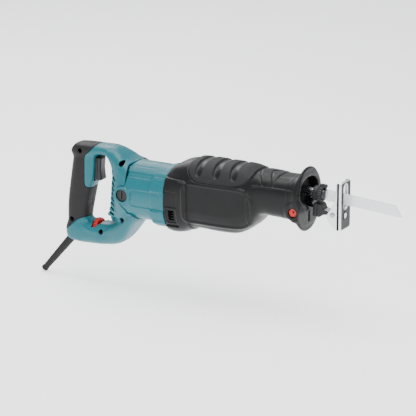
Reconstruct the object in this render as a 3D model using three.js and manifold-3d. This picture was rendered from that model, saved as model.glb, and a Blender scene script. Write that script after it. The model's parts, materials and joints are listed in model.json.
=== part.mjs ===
// Corded reciprocating saw with a D-handle and a counterweighted crank drive.
// Millimetres, +X towards the blade, +Y to the operator's left, +Z up.
// The model is drawn about the motor axis (X axis of the drawing) and then shifted so that
// the frame's origin is the middle of the bounding box's bottom face.
import * as THREE from 'three';
import { mergeVertices } from 'three/addons/utils/BufferGeometryUtils.js';
import Module from 'manifold-3d';

const wasm = await Module();
wasm.setup();

// ---------- driving dimensions ----------
const FRAME_SHIFT = [-67.8, 0, 168.9];
const GAP = 0.3;
const BIG = 400;

const MOTOR = { rear: -74.3, front: -0.3, outerR: 47.6, boreR: 43.4, flangeFrom: -22 };
const BOOT = { rear: 0, front: 244, skin: 2.7, houseWall: 3.2 };
const NOSE = { tilt: 4.2, x: 260, z: 38 };
const SHAFT_R = 5;
const BRUSH_X = -77.5;
const BRUSH_TURN = 1.5;
const CAP_R = 10;
const GEAR_X = 75;
const CRANK_THROW = 16;
const CRANK_ANGLE = 60;
const SLIDER_R = 8;
const SHELL_WALL = 3;
const GRIP_SKIN = 2;
const DIAL = { x: -148, z: -78.5, r: 17.5, width: 7 };
const TRIGGER = { halfWidth: 9, low: 4, high: 44 };
const PIVOT = { x: 26, z: -24 };
const BAR = { low: -27, high: -22, halfWidth: 6.5, rear: -78 };
const BLADE = { length: 135, width: 18.5, thickness: 1.25, pitch: 4.5 };
const PLATE = {
  rear: 296, thickness: 2.5, low: -13, high: 65, halfWidth: 17, slotLow: 20, slotHigh: 60,
  holeZ: 9, holeR: 3.5,
};

// ---------- materials ----------
function finish(color, roughness, metalness) {
  return new THREE.MeshStandardMaterial({ color, roughness, metalness });
}
const TEAL = finish(0x2f8f9b, 0.42, 0);
const RUBBER = finish(0x3a3a3c, 0.62, 0);
const BLACK_PLASTIC = finish(0x1f1f21, 0.45, 0);
const RED_PLASTIC = finish(0xd8412f, 0.38, 0);
const ALUMINIUM = finish(0xb4b6b8, 0.5, 0.9);
const STEEL = finish(0x9da0a4, 0.35, 1);
const BRIGHT_STEEL = finish(0xcfd2d6, 0.2, 1);
const BLADE_STEEL = finish(0xd4d8da, 0.35, 0.9);
const COPPER = finish(0xb46a3c, 0.4, 1);
const BRASS = finish(0xc2a256, 0.35, 1);
const CARBON = finish(0x2b2b2d, 0.8, 0);
const LAMINATION = finish(0x6d7074, 0.55, 0.8);
const RESIN = finish(0x3c5a4a, 0.5, 0);

// ---------- solid helpers ----------
// A closed geometry as a solid that can be joined and cut.
function solid(geometry) {
  const bare = geometry.clone();
  bare.deleteAttribute('normal');
  bare.deleteAttribute('uv');
  const merged = mergeVertices(bare, 1e-3);
  const corners = merged.index.array;
  const triVerts = [];
  for (let i = 0; i < corners.length; i += 3) {
    const [a, b, c] = [corners[i], corners[i + 1], corners[i + 2]];
    if (a !== b && b !== c && c !== a) triVerts.push(a, b, c);
  }
  const made = new wasm.Manifold(new wasm.Mesh({
    numProp: 3,
    vertProperties: merged.attributes.position.array,
    triVerts: new Uint32Array(triVerts),
  }));
  return made;
}

// A solid as a named three.js mesh.
function part(name, body, material) {
  const mesh = body.getMesh();
  const geometry = new THREE.BufferGeometry();
  geometry.setAttribute('position', new THREE.BufferAttribute(mesh.vertProperties, 3));
  geometry.setIndex(new THREE.BufferAttribute(mesh.triVerts, 1));
  geometry.computeVertexNormals();
  const piece = new THREE.Mesh(geometry, material);
  piece.name = name;
  return piece;
}

function join(...bodies) {
  return bodies.reduce((whole, body) => whole.add(body));
}

function cut(body, ...tools) {
  return tools.reduce((rest, tool) => rest.subtract(tool), body);
}

function box(x, y, z) {
  const geometry = new THREE.BoxGeometry(x[1] - x[0], y[1] - y[0], z[1] - z[0]);
  geometry.translate((x[0] + x[1]) / 2, (y[0] + y[1]) / 2, (z[0] + z[1]) / 2);
  return solid(geometry);
}

const TURNS = {
  x: new THREE.Matrix4().makeRotationZ(-Math.PI / 2),
  y: new THREE.Matrix4(),
  z: new THREE.Matrix4().makeRotationX(Math.PI / 2),
};

// A turned solid: profile points are [distance along the axis, radius].
function turned(axis, profile, at = [0, 0, 0], sides = 32) {
  const points = profile.map(([along, radius]) => new THREE.Vector2(radius, along));
  const geometry = new THREE.LatheGeometry(points, sides);
  geometry.applyMatrix4(TURNS[axis]);
  geometry.translate(...at);
  const made = solid(geometry);
  if (made.volume() > 0) return made;
  return turned(axis, [...profile].reverse(), at, sides);
}

function cylinder(axis, from, to, radius, at = [0, 0, 0], sides = 32) {
  return turned(axis, [[from, 0], [from, radius], [to, radius], [to, 0]], at, sides);
}

function ring(axis, from, to, inner, outer, at = [0, 0, 0], sides = 32) {
  return turned(axis, [[from, inner], [from, outer], [to, outer], [to, inner], [from, inner]],
    at, sides);
}

// An outline drawn in the XZ plane, extruded across Y.
function plateXZ(shape, y, curveSegments = 6) {
  const depth = y[1] - y[0];
  const geometry = new THREE.ExtrudeGeometry(shape, { depth, bevelEnabled: false, curveSegments });
  geometry.rotateX(Math.PI / 2);
  geometry.translate(0, y[1], 0);
  return solid(geometry);
}

// An outline drawn in the YZ plane, extruded along X.
function plateYZ(shape, x, curveSegments = 6) {
  const depth = x[1] - x[0];
  const geometry = new THREE.ExtrudeGeometry(shape, { depth, bevelEnabled: false, curveSegments });
  const axes = new THREE.Matrix4().makeBasis(
    new THREE.Vector3(0, 1, 0), new THREE.Vector3(0, 0, 1), new THREE.Vector3(1, 0, 0));
  geometry.applyMatrix4(axes);
  geometry.translate(x[0], 0, 0);
  return solid(geometry);
}

function outline(points) {
  return new THREE.Shape(points.map(([a, b]) => new THREE.Vector2(a, b)));
}

function roundedRectangle(a, b, radius) {
  const shape = new THREE.Shape();
  shape.moveTo(a[0] + radius, b[0]);
  shape.lineTo(a[1] - radius, b[0]);
  shape.absarc(a[1] - radius, b[0] + radius, radius, -Math.PI / 2, 0);
  shape.lineTo(a[1], b[1] - radius);
  shape.absarc(a[1] - radius, b[1] - radius, radius, 0, Math.PI / 2);
  shape.lineTo(a[0] + radius, b[1]);
  shape.absarc(a[0] + radius, b[1] - radius, radius, Math.PI / 2, Math.PI);
  shape.lineTo(a[0], b[0] + radius);
  shape.absarc(a[0] + radius, b[0] + radius, radius, Math.PI, 1.5 * Math.PI);
  return shape;
}

// A smooth line through a few [position, value] points.
function profile(points) {
  const slopes = points.map((_, i) => {
    const before = points[Math.max(i - 1, 0)];
    const after = points[Math.min(i + 1, points.length - 1)];
    return (after[1] - before[1]) / (after[0] - before[0]);
  });
  return (at) => {
    if (at <= points[0][0]) return points[0][1];
    if (at >= points[points.length - 1][0]) return points[points.length - 1][1];
    const i = points.findIndex((point) => at < point[0]) - 1;
    const span = points[i + 1][0] - points[i][0];
    const t = (at - points[i][0]) / span;
    const rise = points[i + 1][1] - points[i][1];
    const blend = t * t * (3 - 2 * t);
    const ease = span * (slopes[i] * t * (1 - t) ** 2 - slopes[i + 1] * t * t * (1 - t));
    return points[i][1] + rise * blend + ease;
  };
}

// One superellipse section with its middle at (a, b) and half sizes (p, q).
function section(a, b, p, q, power, count) {
  return Array.from({ length: count }, (_, i) => {
    const angle = ((i + 0.5) / count) * 2 * Math.PI;
    const [c, s] = [Math.cos(angle), Math.sin(angle)];
    return [
      a + p * Math.sign(c) * Math.abs(c) ** (2 / power),
      b + q * Math.sign(s) * Math.abs(s) ** (2 / power),
    ];
  });
}

// A solid skinned over closed rings of points.
function skinned(rings) {
  const count = rings[0].length;
  const last = (rings.length - 1) * count;
  const indices = [];
  for (let r = 0; r < rings.length - 1; r += 1) {
    for (let i = 0; i < count; i += 1) {
      const a = r * count + i;
      const b = r * count + ((i + 1) % count);
      indices.push(a, b, b + count, a, b + count, a + count);
    }
  }
  for (let i = 1; i < count - 1; i += 1) {
    indices.push(0, i + 1, i);
    indices.push(last, last + i, last + i + 1);
  }
  const geometry = new THREE.BufferGeometry();
  const positions = new Float32Array(rings.flat(2));
  geometry.setAttribute('position', new THREE.BufferAttribute(positions, 3));
  geometry.setIndex(indices);
  const made = solid(geometry);
  return made.volume() > 0 ? made : skinned([...rings].reverse());
}

function stations(from, to, step) {
  const count = Math.max(1, Math.round((to - from) / step));
  return Array.from({ length: count + 1 }, (_, i) => from + ((to - from) * i) / count);
}

// A body along X whose top, bottom and half width are lines over X, drawn inset by a wall.
function bodyAlongX(lines, from, to, step, inset, power, count = 18) {
  return skinned(stations(from, to, step).map((x) => {
    const mid = (lines.top(x) + lines.bottom(x)) / 2;
    const half = (lines.top(x) - lines.bottom(x)) / 2 - inset;
    return section(0, mid, lines.width(x) - inset, half, power, count)
      .map(([y, z]) => [x, y, z]);
  }));
}

// A body along Z whose rear, front and half width are lines over Z, drawn inset by a wall.
function bodyAlongZ(lines, from, to, step, inset, power, count = 18) {
  return skinned(stations(from, to, step).map((z) => {
    const mid = (lines.front(z) + lines.rear(z)) / 2;
    const half = (lines.front(z) - lines.rear(z)) / 2 - inset;
    return section(mid, 0, half, lines.width(z) - inset, power, count)
      .map(([x, y]) => [x, y, z]);
  }));
}

// The nose is drawn straight along X about (0, 0) and then tilted nose-down into place.
function inNose(body) {
  return body.rotate([0, NOSE.tilt, 0]).translate([NOSE.x, 0, NOSE.z]);
}

function bothSides(make) {
  return [['right', -1], ['left', 1]].map(([side, sign]) => make(side, sign));
}

// ---------- outer forms ----------
const BOOT_LINES = {
  top: profile([[0, 50], [17, 60.5], [34, 65], [50, 66.8], [95, 67.5], [134, 67], [152, 64], [166, 62.5],
    [200, 62.5], [234, 63]]),
  bottom: profile([[0, -53.5], [10, -55], [24, -53], [38, -47.5], [54, -44.5], [86, -45.5], [106, -45],
    [122, -42.5], [138, -33.5], [152, -19], [163, -6], [185, -5], [205, -6], [234, -8]]),
  width: profile([[0, 48.5], [30, 49], [95, 47], [134, 44], [160, 39], [200, 37], [234, 37]]),
};
const BOOT_POWER = 2.7;
const STEP = 20.3;

const GRIP_LINES = {
  rear: profile([[-102, -195], [-92, -200.5], [-42, -201.5], [0, -197], [45, -190], [62, -185]]),
  front: profile([[-102, -170], [-57, -164], [-7, -153.5], [45, -148.5], [62, -148]]),
  width: profile([[-102, 17], [-60, 19], [0, 19.5], [62, 18]]),
};
const BRIDGE_LINES = {
  top: profile([[-192, 58], [-181, 63], [-138, 65.5], [-110, 64.5], [-96, 59], [-84, 52], [-74, 48]]),
  bottom: profile([[-192, 44], [-150, 46], [-120, 46], [-108, 20], [-74, 0]]),
  width: profile([[-192, 16], [-180, 18.5], [-130, 20.5], [-105, 28], [-74, 42]]),
};
const HUB_LINES = {
  top: profile([[-126, 48], [-100, 55], [-86, 52], [-74, 48]]),
  bottom: profile([[-126, -60], [-100, -64], [-74, -48.5]]),
  width: profile([[-126, 14], [-118, 19], [-111, 25], [-96, 39], [-84, 45.5], [-74, 47.6]]),
};
const BAR_LINES = {
  top: profile([[-206, -75], [-190, -66], [-150, -64], [-118, -62], [-66, -25]]),
  bottom: profile([[-206, -92], [-196, -103], [-154, -104], [-113, -99], [-92, -88], [-66, -52]]),
  width: profile([[-206, 14], [-196, 18], [-150, 21.5], [-125, 21.5], [-100, 28], [-66, 36]]),
};
const HANDLE_POWER = 2.6;

// The open middle of the D-handle, seen from the side.
const LOOP = [
  [-161, -59], [-155, -30], [-152, -7], [-147.5, 30], [-147.5, 46], [-122, 46], [-115.5, 40], [-112.5, 30],
  [-111, 19], [-112, 8], [-113, -3], [-115, -21], [-117.5, -34], [-120, -45], [-123, -54], [-128, -60.5],
  [-136, -63.5], [-152, -63.5],
];

// A clockwise outline moved outwards by a distance.
function grown(points, by) {
  return points.map(([x, z], i) => {
    const [x0, z0] = points[(i + points.length - 1) % points.length];
    const [x1, z1] = points[(i + 1) % points.length];
    const length = Math.hypot(x1 - x0, z1 - z0);
    return [x - ((z1 - z0) / length) * by, z + ((x1 - x0) / length) * by];
  });
}

// The D-handle's outer form, drawn inset by a wall.
function handleForm(inset) {
  const front = MOTOR.rear - GAP;
  const grip = bodyAlongZ(GRIP_LINES, -96 + inset, 58 - inset, 38, inset, HANDLE_POWER, 12);
  const bridge = bodyAlongX(BRIDGE_LINES, -190 + inset, front, 23, inset, HANDLE_POWER, 12);
  const hub = bodyAlongX(HUB_LINES, -126 + inset, front, 17, inset, 2.1, 18);
  const bar = bodyAlongX(BAR_LINES, -204 + inset, front, 26, inset, HANDLE_POWER, 12);
  const loop = plateXZ(outline(grown(LOOP, inset)), [-BIG, BIG]);
  return cut(join(grip, bridge, hub, bar), loop);
}

// The rubber-covered zone of the grip, seen from the side, grown by a gap.
function gripZone(grow) {
  return plateXZ(outline([
    [-BIG, -88 - grow], [-206, -88 - grow], [-174, -59.5 - grow], [-140, -59.5 - grow],
    [-140, -8 + grow], [-167 + grow, -8 + grow], [-167 + grow, 47 - grow],
    [-150 + grow, 58 - grow], [-132 + grow, 90], [-BIG, 90],
  ]), [-BIG, BIG]);
}

const SCREW_SITES = [
  { x: -88, z: 45.5, halfWidth: 33 },
  { x: -88, z: -49, halfWidth: 33 },
  { x: -133, z: -78, halfWidth: 20 },
  { x: -171.5, z: 54, halfWidth: 16 },
  { x: -189, z: -64, halfWidth: 17 },
];
const SCREW = { headR: 3.6, shankR: 1.9, headLength: 2.8, recessR: 4.2, bossR: 5.2 };

// ---------- motor ----------
function motorHousing() {
  const barrel = cylinder('x', MOTOR.rear, MOTOR.front, MOTOR.outerR, [0, 0, 0], 32);
  const flange = bodyAlongX(BOOT_LINES, MOTOR.flangeFrom, MOTOR.front, 30, 0.5, 2.4, 20);
  const lobes = bothSides((side, sign) => brushTurned(cylinder('y', 34 * sign, 46 * sign, CAP_R + 4.5,
    [BRUSH_X, 0, 0], 18)));
  const bore = cylinder('x', MOTOR.rear - 30, MOTOR.front + 1, MOTOR.boreR + 0.3, [0, 0, 0], 28);
  const capWells = bothSides((side, sign) => brushTurned(cylinder('y', 30 * sign, 50 * sign,
    CAP_R + GAP, [BRUSH_X, 0, 0], 24)));
  const arms = [0, 1].map((i) => box([-101, -63], [-3, 3], [-45, 45]).rotate([45 + 90 * i, 0, 0]));
  const armRoom = cylinder('x', -90, -60, 33, [0, 0, 0], 20);
  const rearRoom = cylinder('x', -110, -60, 15, [0, 0, 0], 20);
  const bearingSeat = ring('x', -104, -92, 11.3, 15.4, [0, 0, 0], 20);
  const armSpider = join(cut(join(...arms), armRoom, rearRoom), bearingSeat);
  const cone = turned('x', [[-105, 0], [-105, 18], [-94, 30], [-76, 44.9], [-60, 44.9], [-60, 0]],
    [0, 0, 0], 24);
  const trimmedSpider = armSpider.intersect(cone);
  const screwHoles = motorScrewSites().map(([y, z]) => cylinder('x', -30, 2, 2.4, [0, y, z], 8));
  const screwHeads = motorScrewSites().map(([y, z]) => cylinder('x', -60, -19, 4.4, [0, y, z], 10));
  const shell = cut(join(barrel, flange, ...lobes), bore, ...screwHoles, ...screwHeads, ...capWells);
  return part('motor_housing', join(shell, trimmedSpider), TEAL);
}

function motorScrewSites() {
  return [[-33, 34], [33, 34], [-32, -37], [32, -37]];
}

function motorScrew(index) {
  const [y, z] = motorScrewSites()[index];
  const head = cylinder('x', -22.4, -19.4, 3.8, [0, y, z], 8);
  const shank = cylinder('x', -19.4, 14, 2, [0, y, z], 8);
  return part(`motor_screw_${index + 1}`, join(head, shank), STEEL);
}

function fieldCore() {
  const core = ring('x', -56, -10, 27.3, MOTOR.boreR - GAP, [0, 0, 0], 28);
  const slots = [-1, 1].map((sign) => box([-60, -6], [-18.5, 18.5], [0, 37.2 * sign].sort((a, b) => a - b)));
  return part('field_core', cut(core, ...slots), LAMINATION);
}

function fieldCoil(name, sign) {
  const block = plateYZ(roundedRectangle([-18, 18], [28.5, 36.7], 3), [-64, -1.5], 2);
  const slot = box([-54, -12], [-9, 9], [20, 50]);
  const coil = cut(block, slot);
  return part(name, sign > 0 ? coil : coil.rotate([180, 0, 0]), COPPER);
}

function armatureShaft() {
  return part('armature_shaft', turned('x', [[-103, 0], [-103, 3.7], [-91, 3.7], [-91, SHAFT_R],
    [31, SHAFT_R], [31, 3], [39, 3], [39, 0]], [0, 0, 0], 14), STEEL);
}

function armatureCore() {
  const core = cylinder('x', -56, -10, 26.6, [0, 0, 0], 24);
  const slots = Array.from({ length: 12 }, (_, i) => box([-60, -6], [-1.2, 1.2], [22, 30])
    .rotate([i * 30, 0, 0]));
  const windings = ring('x', -62, -5, SHAFT_R, 21, [0, 0, 0], 16);
  const bore = cylinder('x', -70, 0, SHAFT_R + GAP, [0, 0, 0], 14);
  return part('armature_core', cut(join(cut(core, ...slots), windings), bore), LAMINATION);
}

function commutator() {
  const body = ring('x', -90, -66, SHAFT_R + GAP, 14, [0, 0, 0], 16);
  const grooves = Array.from({ length: 8 }, (_, i) => box([-91, -70], [-0.4, 0.4], [12.6, 15])
    .rotate([i * 45, 0, 0]));
  return part('commutator', cut(body, ...grooves), COPPER);
}

function coolingFan() {
  const disc = turned('x', [[1.5, SHAFT_R + GAP], [1.5, 12], [3, 36], [3, 39], [5, 39], [5, 14],
    [11, 11], [11, SHAFT_R + GAP], [1.5, SHAFT_R + GAP]], [0, 0, 0], 16);
  const vanes = Array.from({ length: 8 }, (_, i) => box([4.5, 13], [-1, 1], [17, 38.4])
    .rotate([i * 45, 0, 0]));
  return part('cooling_fan', join(disc, ...vanes), BLACK_PLASTIC);
}

function ballBearing(name, from, to, bore, outer) {
  const groove = (outer - bore) * 0.22;
  const mid = (outer + bore) / 2;
  return part(name, turned('x', [[from, bore], [from, mid - groove], [from + 1, mid - groove],
    [from + 1, mid + groove], [from, mid + groove], [from, outer], [to, outer], [to, bore],
    [from, bore]], [0, 0, 0], 16), STEEL);
}

// The brush gear lies across the commutator on a line turned a little about the motor axis.
function brushTurned(body) {
  return body.rotate([BRUSH_TURN, 0, 0]);
}

function acrossMotor(body, sign) {
  return brushTurned(sign > 0 ? body : body.rotate([0, 0, 180]).translate([2 * BRUSH_X, 0, 0]));
}

function brushHolder(side, sign) {
  const body = box([BRUSH_X - 7, BRUSH_X + 7], [17, 35], [-5, 5]);
  const tube = cylinder('y', 34, 38, 8, [BRUSH_X, 0, 0], 20);
  const pocket = box([BRUSH_X - 5, BRUSH_X + 5], [10, 45], [-3.3, 3.3]);
  const holder = cut(join(body, tube), pocket);
  return part(`brush_holder_${side}`, acrossMotor(holder, sign), BRASS);
}

function carbonBrush(side, sign) {
  const block = box([BRUSH_X - 4.6, BRUSH_X + 4.6], [14.4, 27], [-2.9, 2.9]);
  return part(`carbon_brush_${side}`, acrossMotor(block, sign), CARBON);
}

function brushCap(side, sign) {
  const cap = turned('y', [[38.5, 0], [38.5, CAP_R - 1], [40, CAP_R], [44.6, CAP_R], [45.6, CAP_R - 1],
    [45.6, 0]], [BRUSH_X, 0, 0], 24);
  const slot = box([BRUSH_X - 0.9, BRUSH_X + 0.9], [43.6, 50], [-5.5, 5.5]);
  return part(`brush_cap_${side}`, acrossMotor(cut(cap, slot), sign), BLACK_PLASTIC);
}

// ---------- gearing ----------
const PINION = { teeth: 6, outer: 41, inner: 51, coreR: 3.2, tipR: 5.1 };
const GEAR = { teeth: 48, rim: 34, bore: 24, tip: 3.6, root: 6.8, top: 14, edge: 35.5 };

// One bevel tooth: a tapered bar that shrinks towards the cone's apex at the origin.
function toothBar(halfLow, halfHigh, low, high) {
  const ringAt = (x) => {
    const scale = x / GEAR.rim;
    return [
      [x, -halfLow * scale, low * scale], [x, halfLow * scale, low * scale],
      [x, halfHigh * scale, high * scale], [x, -halfHigh * scale, high * scale],
    ];
  };
  return skinned([ringAt(GEAR.bore), ringAt(GEAR.rim)]);
}

function bevelPinion() {
  const shrink = GEAR.bore / GEAR.rim;
  const core = turned('x', [[31.6, 0], [31.6, 6.2], [40.6, 6.2], [PINION.outer, PINION.coreR],
    [PINION.inner, PINION.coreR * shrink], [PINION.inner, 0]], [0, 0, 0], 18);
  const bore = cylinder('x', 30, 39.4, 3 + GAP, [0, 0, 0], 16);
  const teeth = Array.from({ length: PINION.teeth }, (_, i) => toothBar(0.8, 0.45, 2.9, PINION.tipR)
    .rotate([0, 0, 180]).translate([GEAR_X, 0, 0]).rotate([(i * 360) / PINION.teeth, 0, 0]));
  return part('bevel_pinion', join(cut(core, bore), ...teeth), STEEL);
}

function crankPinPlace() {
  const angle = THREE.MathUtils.degToRad(CRANK_ANGLE);
  return [GEAR_X + CRANK_THROW * Math.cos(angle), CRANK_THROW * Math.sin(angle), 0];
}

// The crank gear hangs on a shaft below it, with its teeth facing down onto the pinion.
function crankGear() {
  const shrink = GEAR.bore / GEAR.rim;
  const face = GEAR.root - 0.6;
  const disc = turned('z', [[face * shrink, 0], [face * shrink, GEAR.bore], [face, GEAR.rim],
    [face, GEAR.edge], [GEAR.top, GEAR.edge], [GEAR.top, 0]], [GEAR_X, 0, 0], GEAR.teeth);
  const shaft = turned('z', [[-36, 0], [-36, 7.7], [-4, 7.7], [-4, 12], [8, 12], [8, 0]],
    [GEAR_X, 0, 0], 16);
  const teeth = Array.from({ length: GEAR.teeth }, (_, i) => toothBar(0.5, 0.75, GEAR.tip, GEAR.root)
    .rotate([0, 0, ((i + 0.5) * 360) / GEAR.teeth]).translate([GEAR_X, 0, 0]));
  const pinHole = cylinder('z', 8, 30, 5 + GAP, crankPinPlace(), 16);
  return part('crank_gear', cut(join(disc, shaft, ...teeth), pinHole), STEEL);
}

function crankPin() {
  return part('crank_pin', turned('z', [[8.4, 0], [8.4, 5], [20.5, 5], [20.5, 7.5], [34.5, 7.5],
    [34.5, 0]], crankPinPlace(), 20), BRIGHT_STEEL);
}

function gearBearing() {
  return part('gear_bearing', ring('z', -34, -8, 8.2, 13, [GEAR_X, 0, 0], 16), BRASS);
}

function counterweight() {
  const sides = bothSides((side, sign) => box([42, 121], [25 * sign, 35 * sign].sort((a, b) => a - b),
    [22, 32.5]));
  const bridge = box([105, 121], [-26, 26], [22, 32.5]);
  return part('counterweight', join(bridge, ...sides), STEEL);
}

// ---------- slider, blade clamp and blade, drawn in the nose's own line ----------
const YOKE = { rear: -194, front: -164, halfWidth: 26, low: -13.5 };

function slider() {
  const rod = turned('x', [[-171, 0], [-171, 7], [-170, SLIDER_R], [-16, SLIDER_R], [-16, 6], [-5, 6],
    [-5, 0]], [0, 0, 0], 24);
  const yoke = box([YOKE.rear, YOKE.front], [-YOKE.halfWidth, YOKE.halfWidth], [YOKE.low, -4]);
  const slot = box([YOKE.rear + 7, YOKE.front - 7], [-24, 24], [YOKE.low - 1, -9]);
  return part('slider', cut(join(rod, yoke), slot), BRIGHT_STEEL);
}

function clampBody() {
  const outer = turned('x', [[-15.7, 0], [-15.7, 8.5], [-14.7, 9.5], [3, 9.5], [4, 8.5], [4, 0]],
    [0, 0, 0], 20);
  const socket = cylinder('x', -17, -4.6, 6 + GAP, [0, 0, 0], 20);
  const slit = box([-4, 9], [-0.95, 0.95], [-6.4, 6.4]);
  return part('blade_clamp_body', cut(outer, socket, slit), BRIGHT_STEEL);
}

function clampSleeve() {
  const collar = ring('x', -7, 0.8, 9.9, 12.6, [0, 0, 0], 20);
  const lever = box([-5.5, 5.5], [-3.5, 3.5], [11.5, 16.5]);
  return part('blade_clamp_sleeve', join(collar, lever), BLACK_PLASTIC);
}

// The blade's teeth are drawn as a row of notches along its lower edge.
function blade() {
  const half = BLADE.width / 2;
  const shape = new THREE.Shape();
  shape.moveTo(-3.6, -5.8);
  shape.lineTo(4.6, -5.8);
  shape.lineTo(8, -half);
  const teeth = Math.floor((BLADE.length - 24) / BLADE.pitch);
  for (let i = 0; i < teeth; i += 1) {
    const x = 16 + i * BLADE.pitch;
    shape.lineTo(x, -half);
    shape.lineTo(x + BLADE.pitch * 0.6, -half + 1.7);
  }
  shape.lineTo(16 + teeth * BLADE.pitch, -half);
  shape.lineTo(BLADE.length + 1, -half + 2);
  shape.lineTo(BLADE.length - 11, half);
  shape.lineTo(8, half);
  shape.lineTo(4.6, 5.8);
  shape.lineTo(-3.6, 5.8);
  shape.closePath();
  return part('saw_blade', plateXZ(shape, [-BLADE.thickness / 2, BLADE.thickness / 2]), BLADE_STEEL);
}

function sliderBushing() {
  return part('slider_bushing', inNose(ring('x', -105, -50, SLIDER_R + GAP, 12, [0, 0, 0], 16)), BRASS);
}

function sliderSeal() {
  return part('slider_seal', inNose(ring('x', -47.2, -42.5, SLIDER_R + GAP, 13.5, [0, 0, 0], 16)), RUBBER);
}

// ---------- gear housing and rubber boot ----------
const FLANGE = { x: 232.5, z: 27, halfHeight: 51.5, halfWidth: 41, halfThickness: 3 };
const MOUTH = { z: 41, halfWidth: 31, halfHeight: 21.5, floor: 219, low: 18.5 };
const BUTTON = { x: 226, z: 12.5, r: 7.2, halfLength: 37.5 };
const WINDOW = { x: [8, 18.5], z: [-29, -12] };
const HEAD_SEATS = [
  { x: 23, y: 12, z: 53.8 },
  { x: 208, y: 26, z: 45.8 },
];

function ovalPlate(halfWidth, halfHeight, z, x) {
  const oval = new THREE.Shape();
  oval.absellipse(0, z, halfWidth, halfHeight, 0, 2 * Math.PI);
  return plateYZ(oval, x, 14);
}

// Everything ahead of a plane that lies this far in front of the flange's middle.
function aheadOfFlange(x) {
  return box([FLANGE.x + x, BIG], [-BIG, BIG], [-BIG, BIG]);
}

function exhaustWindow() {
  return box(WINDOW.x, [-BIG, BIG], WINDOW.z);
}

function buttonBore() {
  return cylinder('y', -BIG, BIG, BUTTON.r + GAP, [BUTTON.x, 0, BUTTON.z], 20);
}

function frontBoot() {
  const faces = [FLANGE.x - FLANGE.halfThickness, FLANGE.x + FLANGE.halfThickness];
  const flange = ovalPlate(FLANGE.halfWidth, FLANGE.halfHeight, FLANGE.z, faces);
  const body = bodyAlongX(BOOT_LINES, BOOT.rear, BOOT.front, STEP, 0, BOOT_POWER);
  const inside = bodyAlongX(BOOT_LINES, BOOT.rear - 0.5, BOOT.front, STEP, BOOT.skin, BOOT_POWER);
  const room = cut(inside, aheadOfFlange(-FLANGE.halfThickness - 0.2));
  const throat = ovalPlate(MOUTH.halfWidth, MOUTH.halfHeight, MOUTH.z, [faces[0] - 1, faces[1] + 1]);
  const barPort = inNose(box([-60, 30], [-10, 10], [-29.5, -15]));
  const skin = cut(join(body, flange), aheadOfFlange(FLANGE.halfThickness));
  return part('front_boot', cut(skin, room, throat, barPort, exhaustWindow(), buttonBore()), RUBBER);
}

// The housing before it is split: bell for the fan, gear chamber and nose.
function wholeGearHousing() {
  const skin = BOOT.skin + GAP;
  const wall = skin + BOOT.houseWall;
  const mouthRoom = box([MOUTH.floor, BIG], [-BIG, BIG], [MOUTH.low, BIG]);
  const outer = cut(bodyAlongX(BOOT_LINES, 0.2, BOOT.front, STEP, skin, BOOT_POWER),
    aheadOfFlange(-FLANGE.halfThickness - 0.5), mouthRoom);
  const chamber = bodyAlongX(BOOT_LINES, 29, 214, 31, wall, BOOT_POWER, 14);
  const bell = cylinder('x', -1, 16.5, 42.6, [0, 0, 0], 24);
  const bearingSeat = cylinder('x', 15, 28.3, 15.2 + GAP, [0, 0, 0], 18);
  const shaftBore = cylinder('x', 27, 31, 8, [0, 0, 0], 12);
  const guideTube = inNose(cylinder('x', -107, -38, 16.5, [0, 0, 0], 14));
  const web = inNose(box([-104, -40], [-3, 3], [-20, 40]));
  const shelf = inNose(box([-94, -36], [-60, 60], [-31, -18]));
  const gearBoss = cylinder('z', -60, -8, 17, [GEAR_X, 0, 0], 14);
  const inside = join(guideTube, web, shelf, gearBoss).intersect(outer);
  const bushSeat = inNose(cylinder('x', -105.3, -49.6, 12.2 + GAP, [0, 0, 0], 16));
  const sealSeat = inNose(cylinder('x', -47.5, -35, 13.7 + GAP, [0, 0, 0], 16));
  const throat = inNose(cylinder('x', -42, 20, 17.5, [0, 0, 0], 18));
  const rodBore = inNose(cylinder('x', -140, 20, SLIDER_R + 1.2, [0, 0, 0], 12));
  const barSlot = inNose(box([-92, 30], [-BAR.halfWidth - 0.5, BAR.halfWidth + 0.5],
    [BAR.low - 0.5, BAR.high + 0.5]));
  const barPort = inNose(box([-36, 30], [-9.5, 9.5], [-29, -15]));
  const gearSeat = cylinder('z', -34.5, 0, 13.2 + GAP, [GEAR_X, 0, 0], 16);
  const gearShaftRoom = cylinder('z', -38, 0, 8.4, [GEAR_X, 0, 0], 12);
  const screwRoom = motorScrewSites().map(([y, z]) => cylinder('x', -5, 15, 2.4, [0, y, z], 8));
  return cut(join(cut(outer, chamber, bell), inside), bearingSeat, shaftBore, bushSeat, sealSeat,
    throat, rodBore, barSlot, barPort, gearSeat, gearShaftRoom, exhaustWindow(), buttonBore(),
    ...screwRoom, ...coverScrewRoom());
}

function coverScrewRoom() {
  return HEAD_SEATS.flatMap(({ x, y, z }) => [-1, 1].map((sign) => join(
    cylinder('z', z - 23, z + 1, 2.4, [x, y * sign, 0], 8),
    cylinder('z', z, z + 30, 4.8, [x, y * sign, 0], 10),
  )));
}

function coverScrew(index) {
  const seat = HEAD_SEATS[Math.floor(index / 2)];
  const place = [seat.x, seat.y * (index % 2 ? 1 : -1), 0];
  const body = turned('z', [[seat.z - 22, 0], [seat.z - 22, 2], [seat.z + GAP, 2], [seat.z + GAP, 4.2],
    [seat.z + 2.3, 3.4], [seat.z + 2.3, 0]], place, 8);
  return part(`cover_screw_${index + 1}`, body, STEEL);
}

function gearHousing(whole) {
  const above = inNose(box([-BIG, BIG], [-BIG, BIG], [-GAP / 2, BIG]));
  return part('gear_housing', cut(whole, above), ALUMINIUM);
}

function gearHousingCover(whole) {
  const below = inNose(box([-BIG, BIG], [-BIG, BIG], [-BIG, GAP / 2]));
  return part('gear_housing_cover', cut(whole, below), ALUMINIUM);
}

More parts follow.
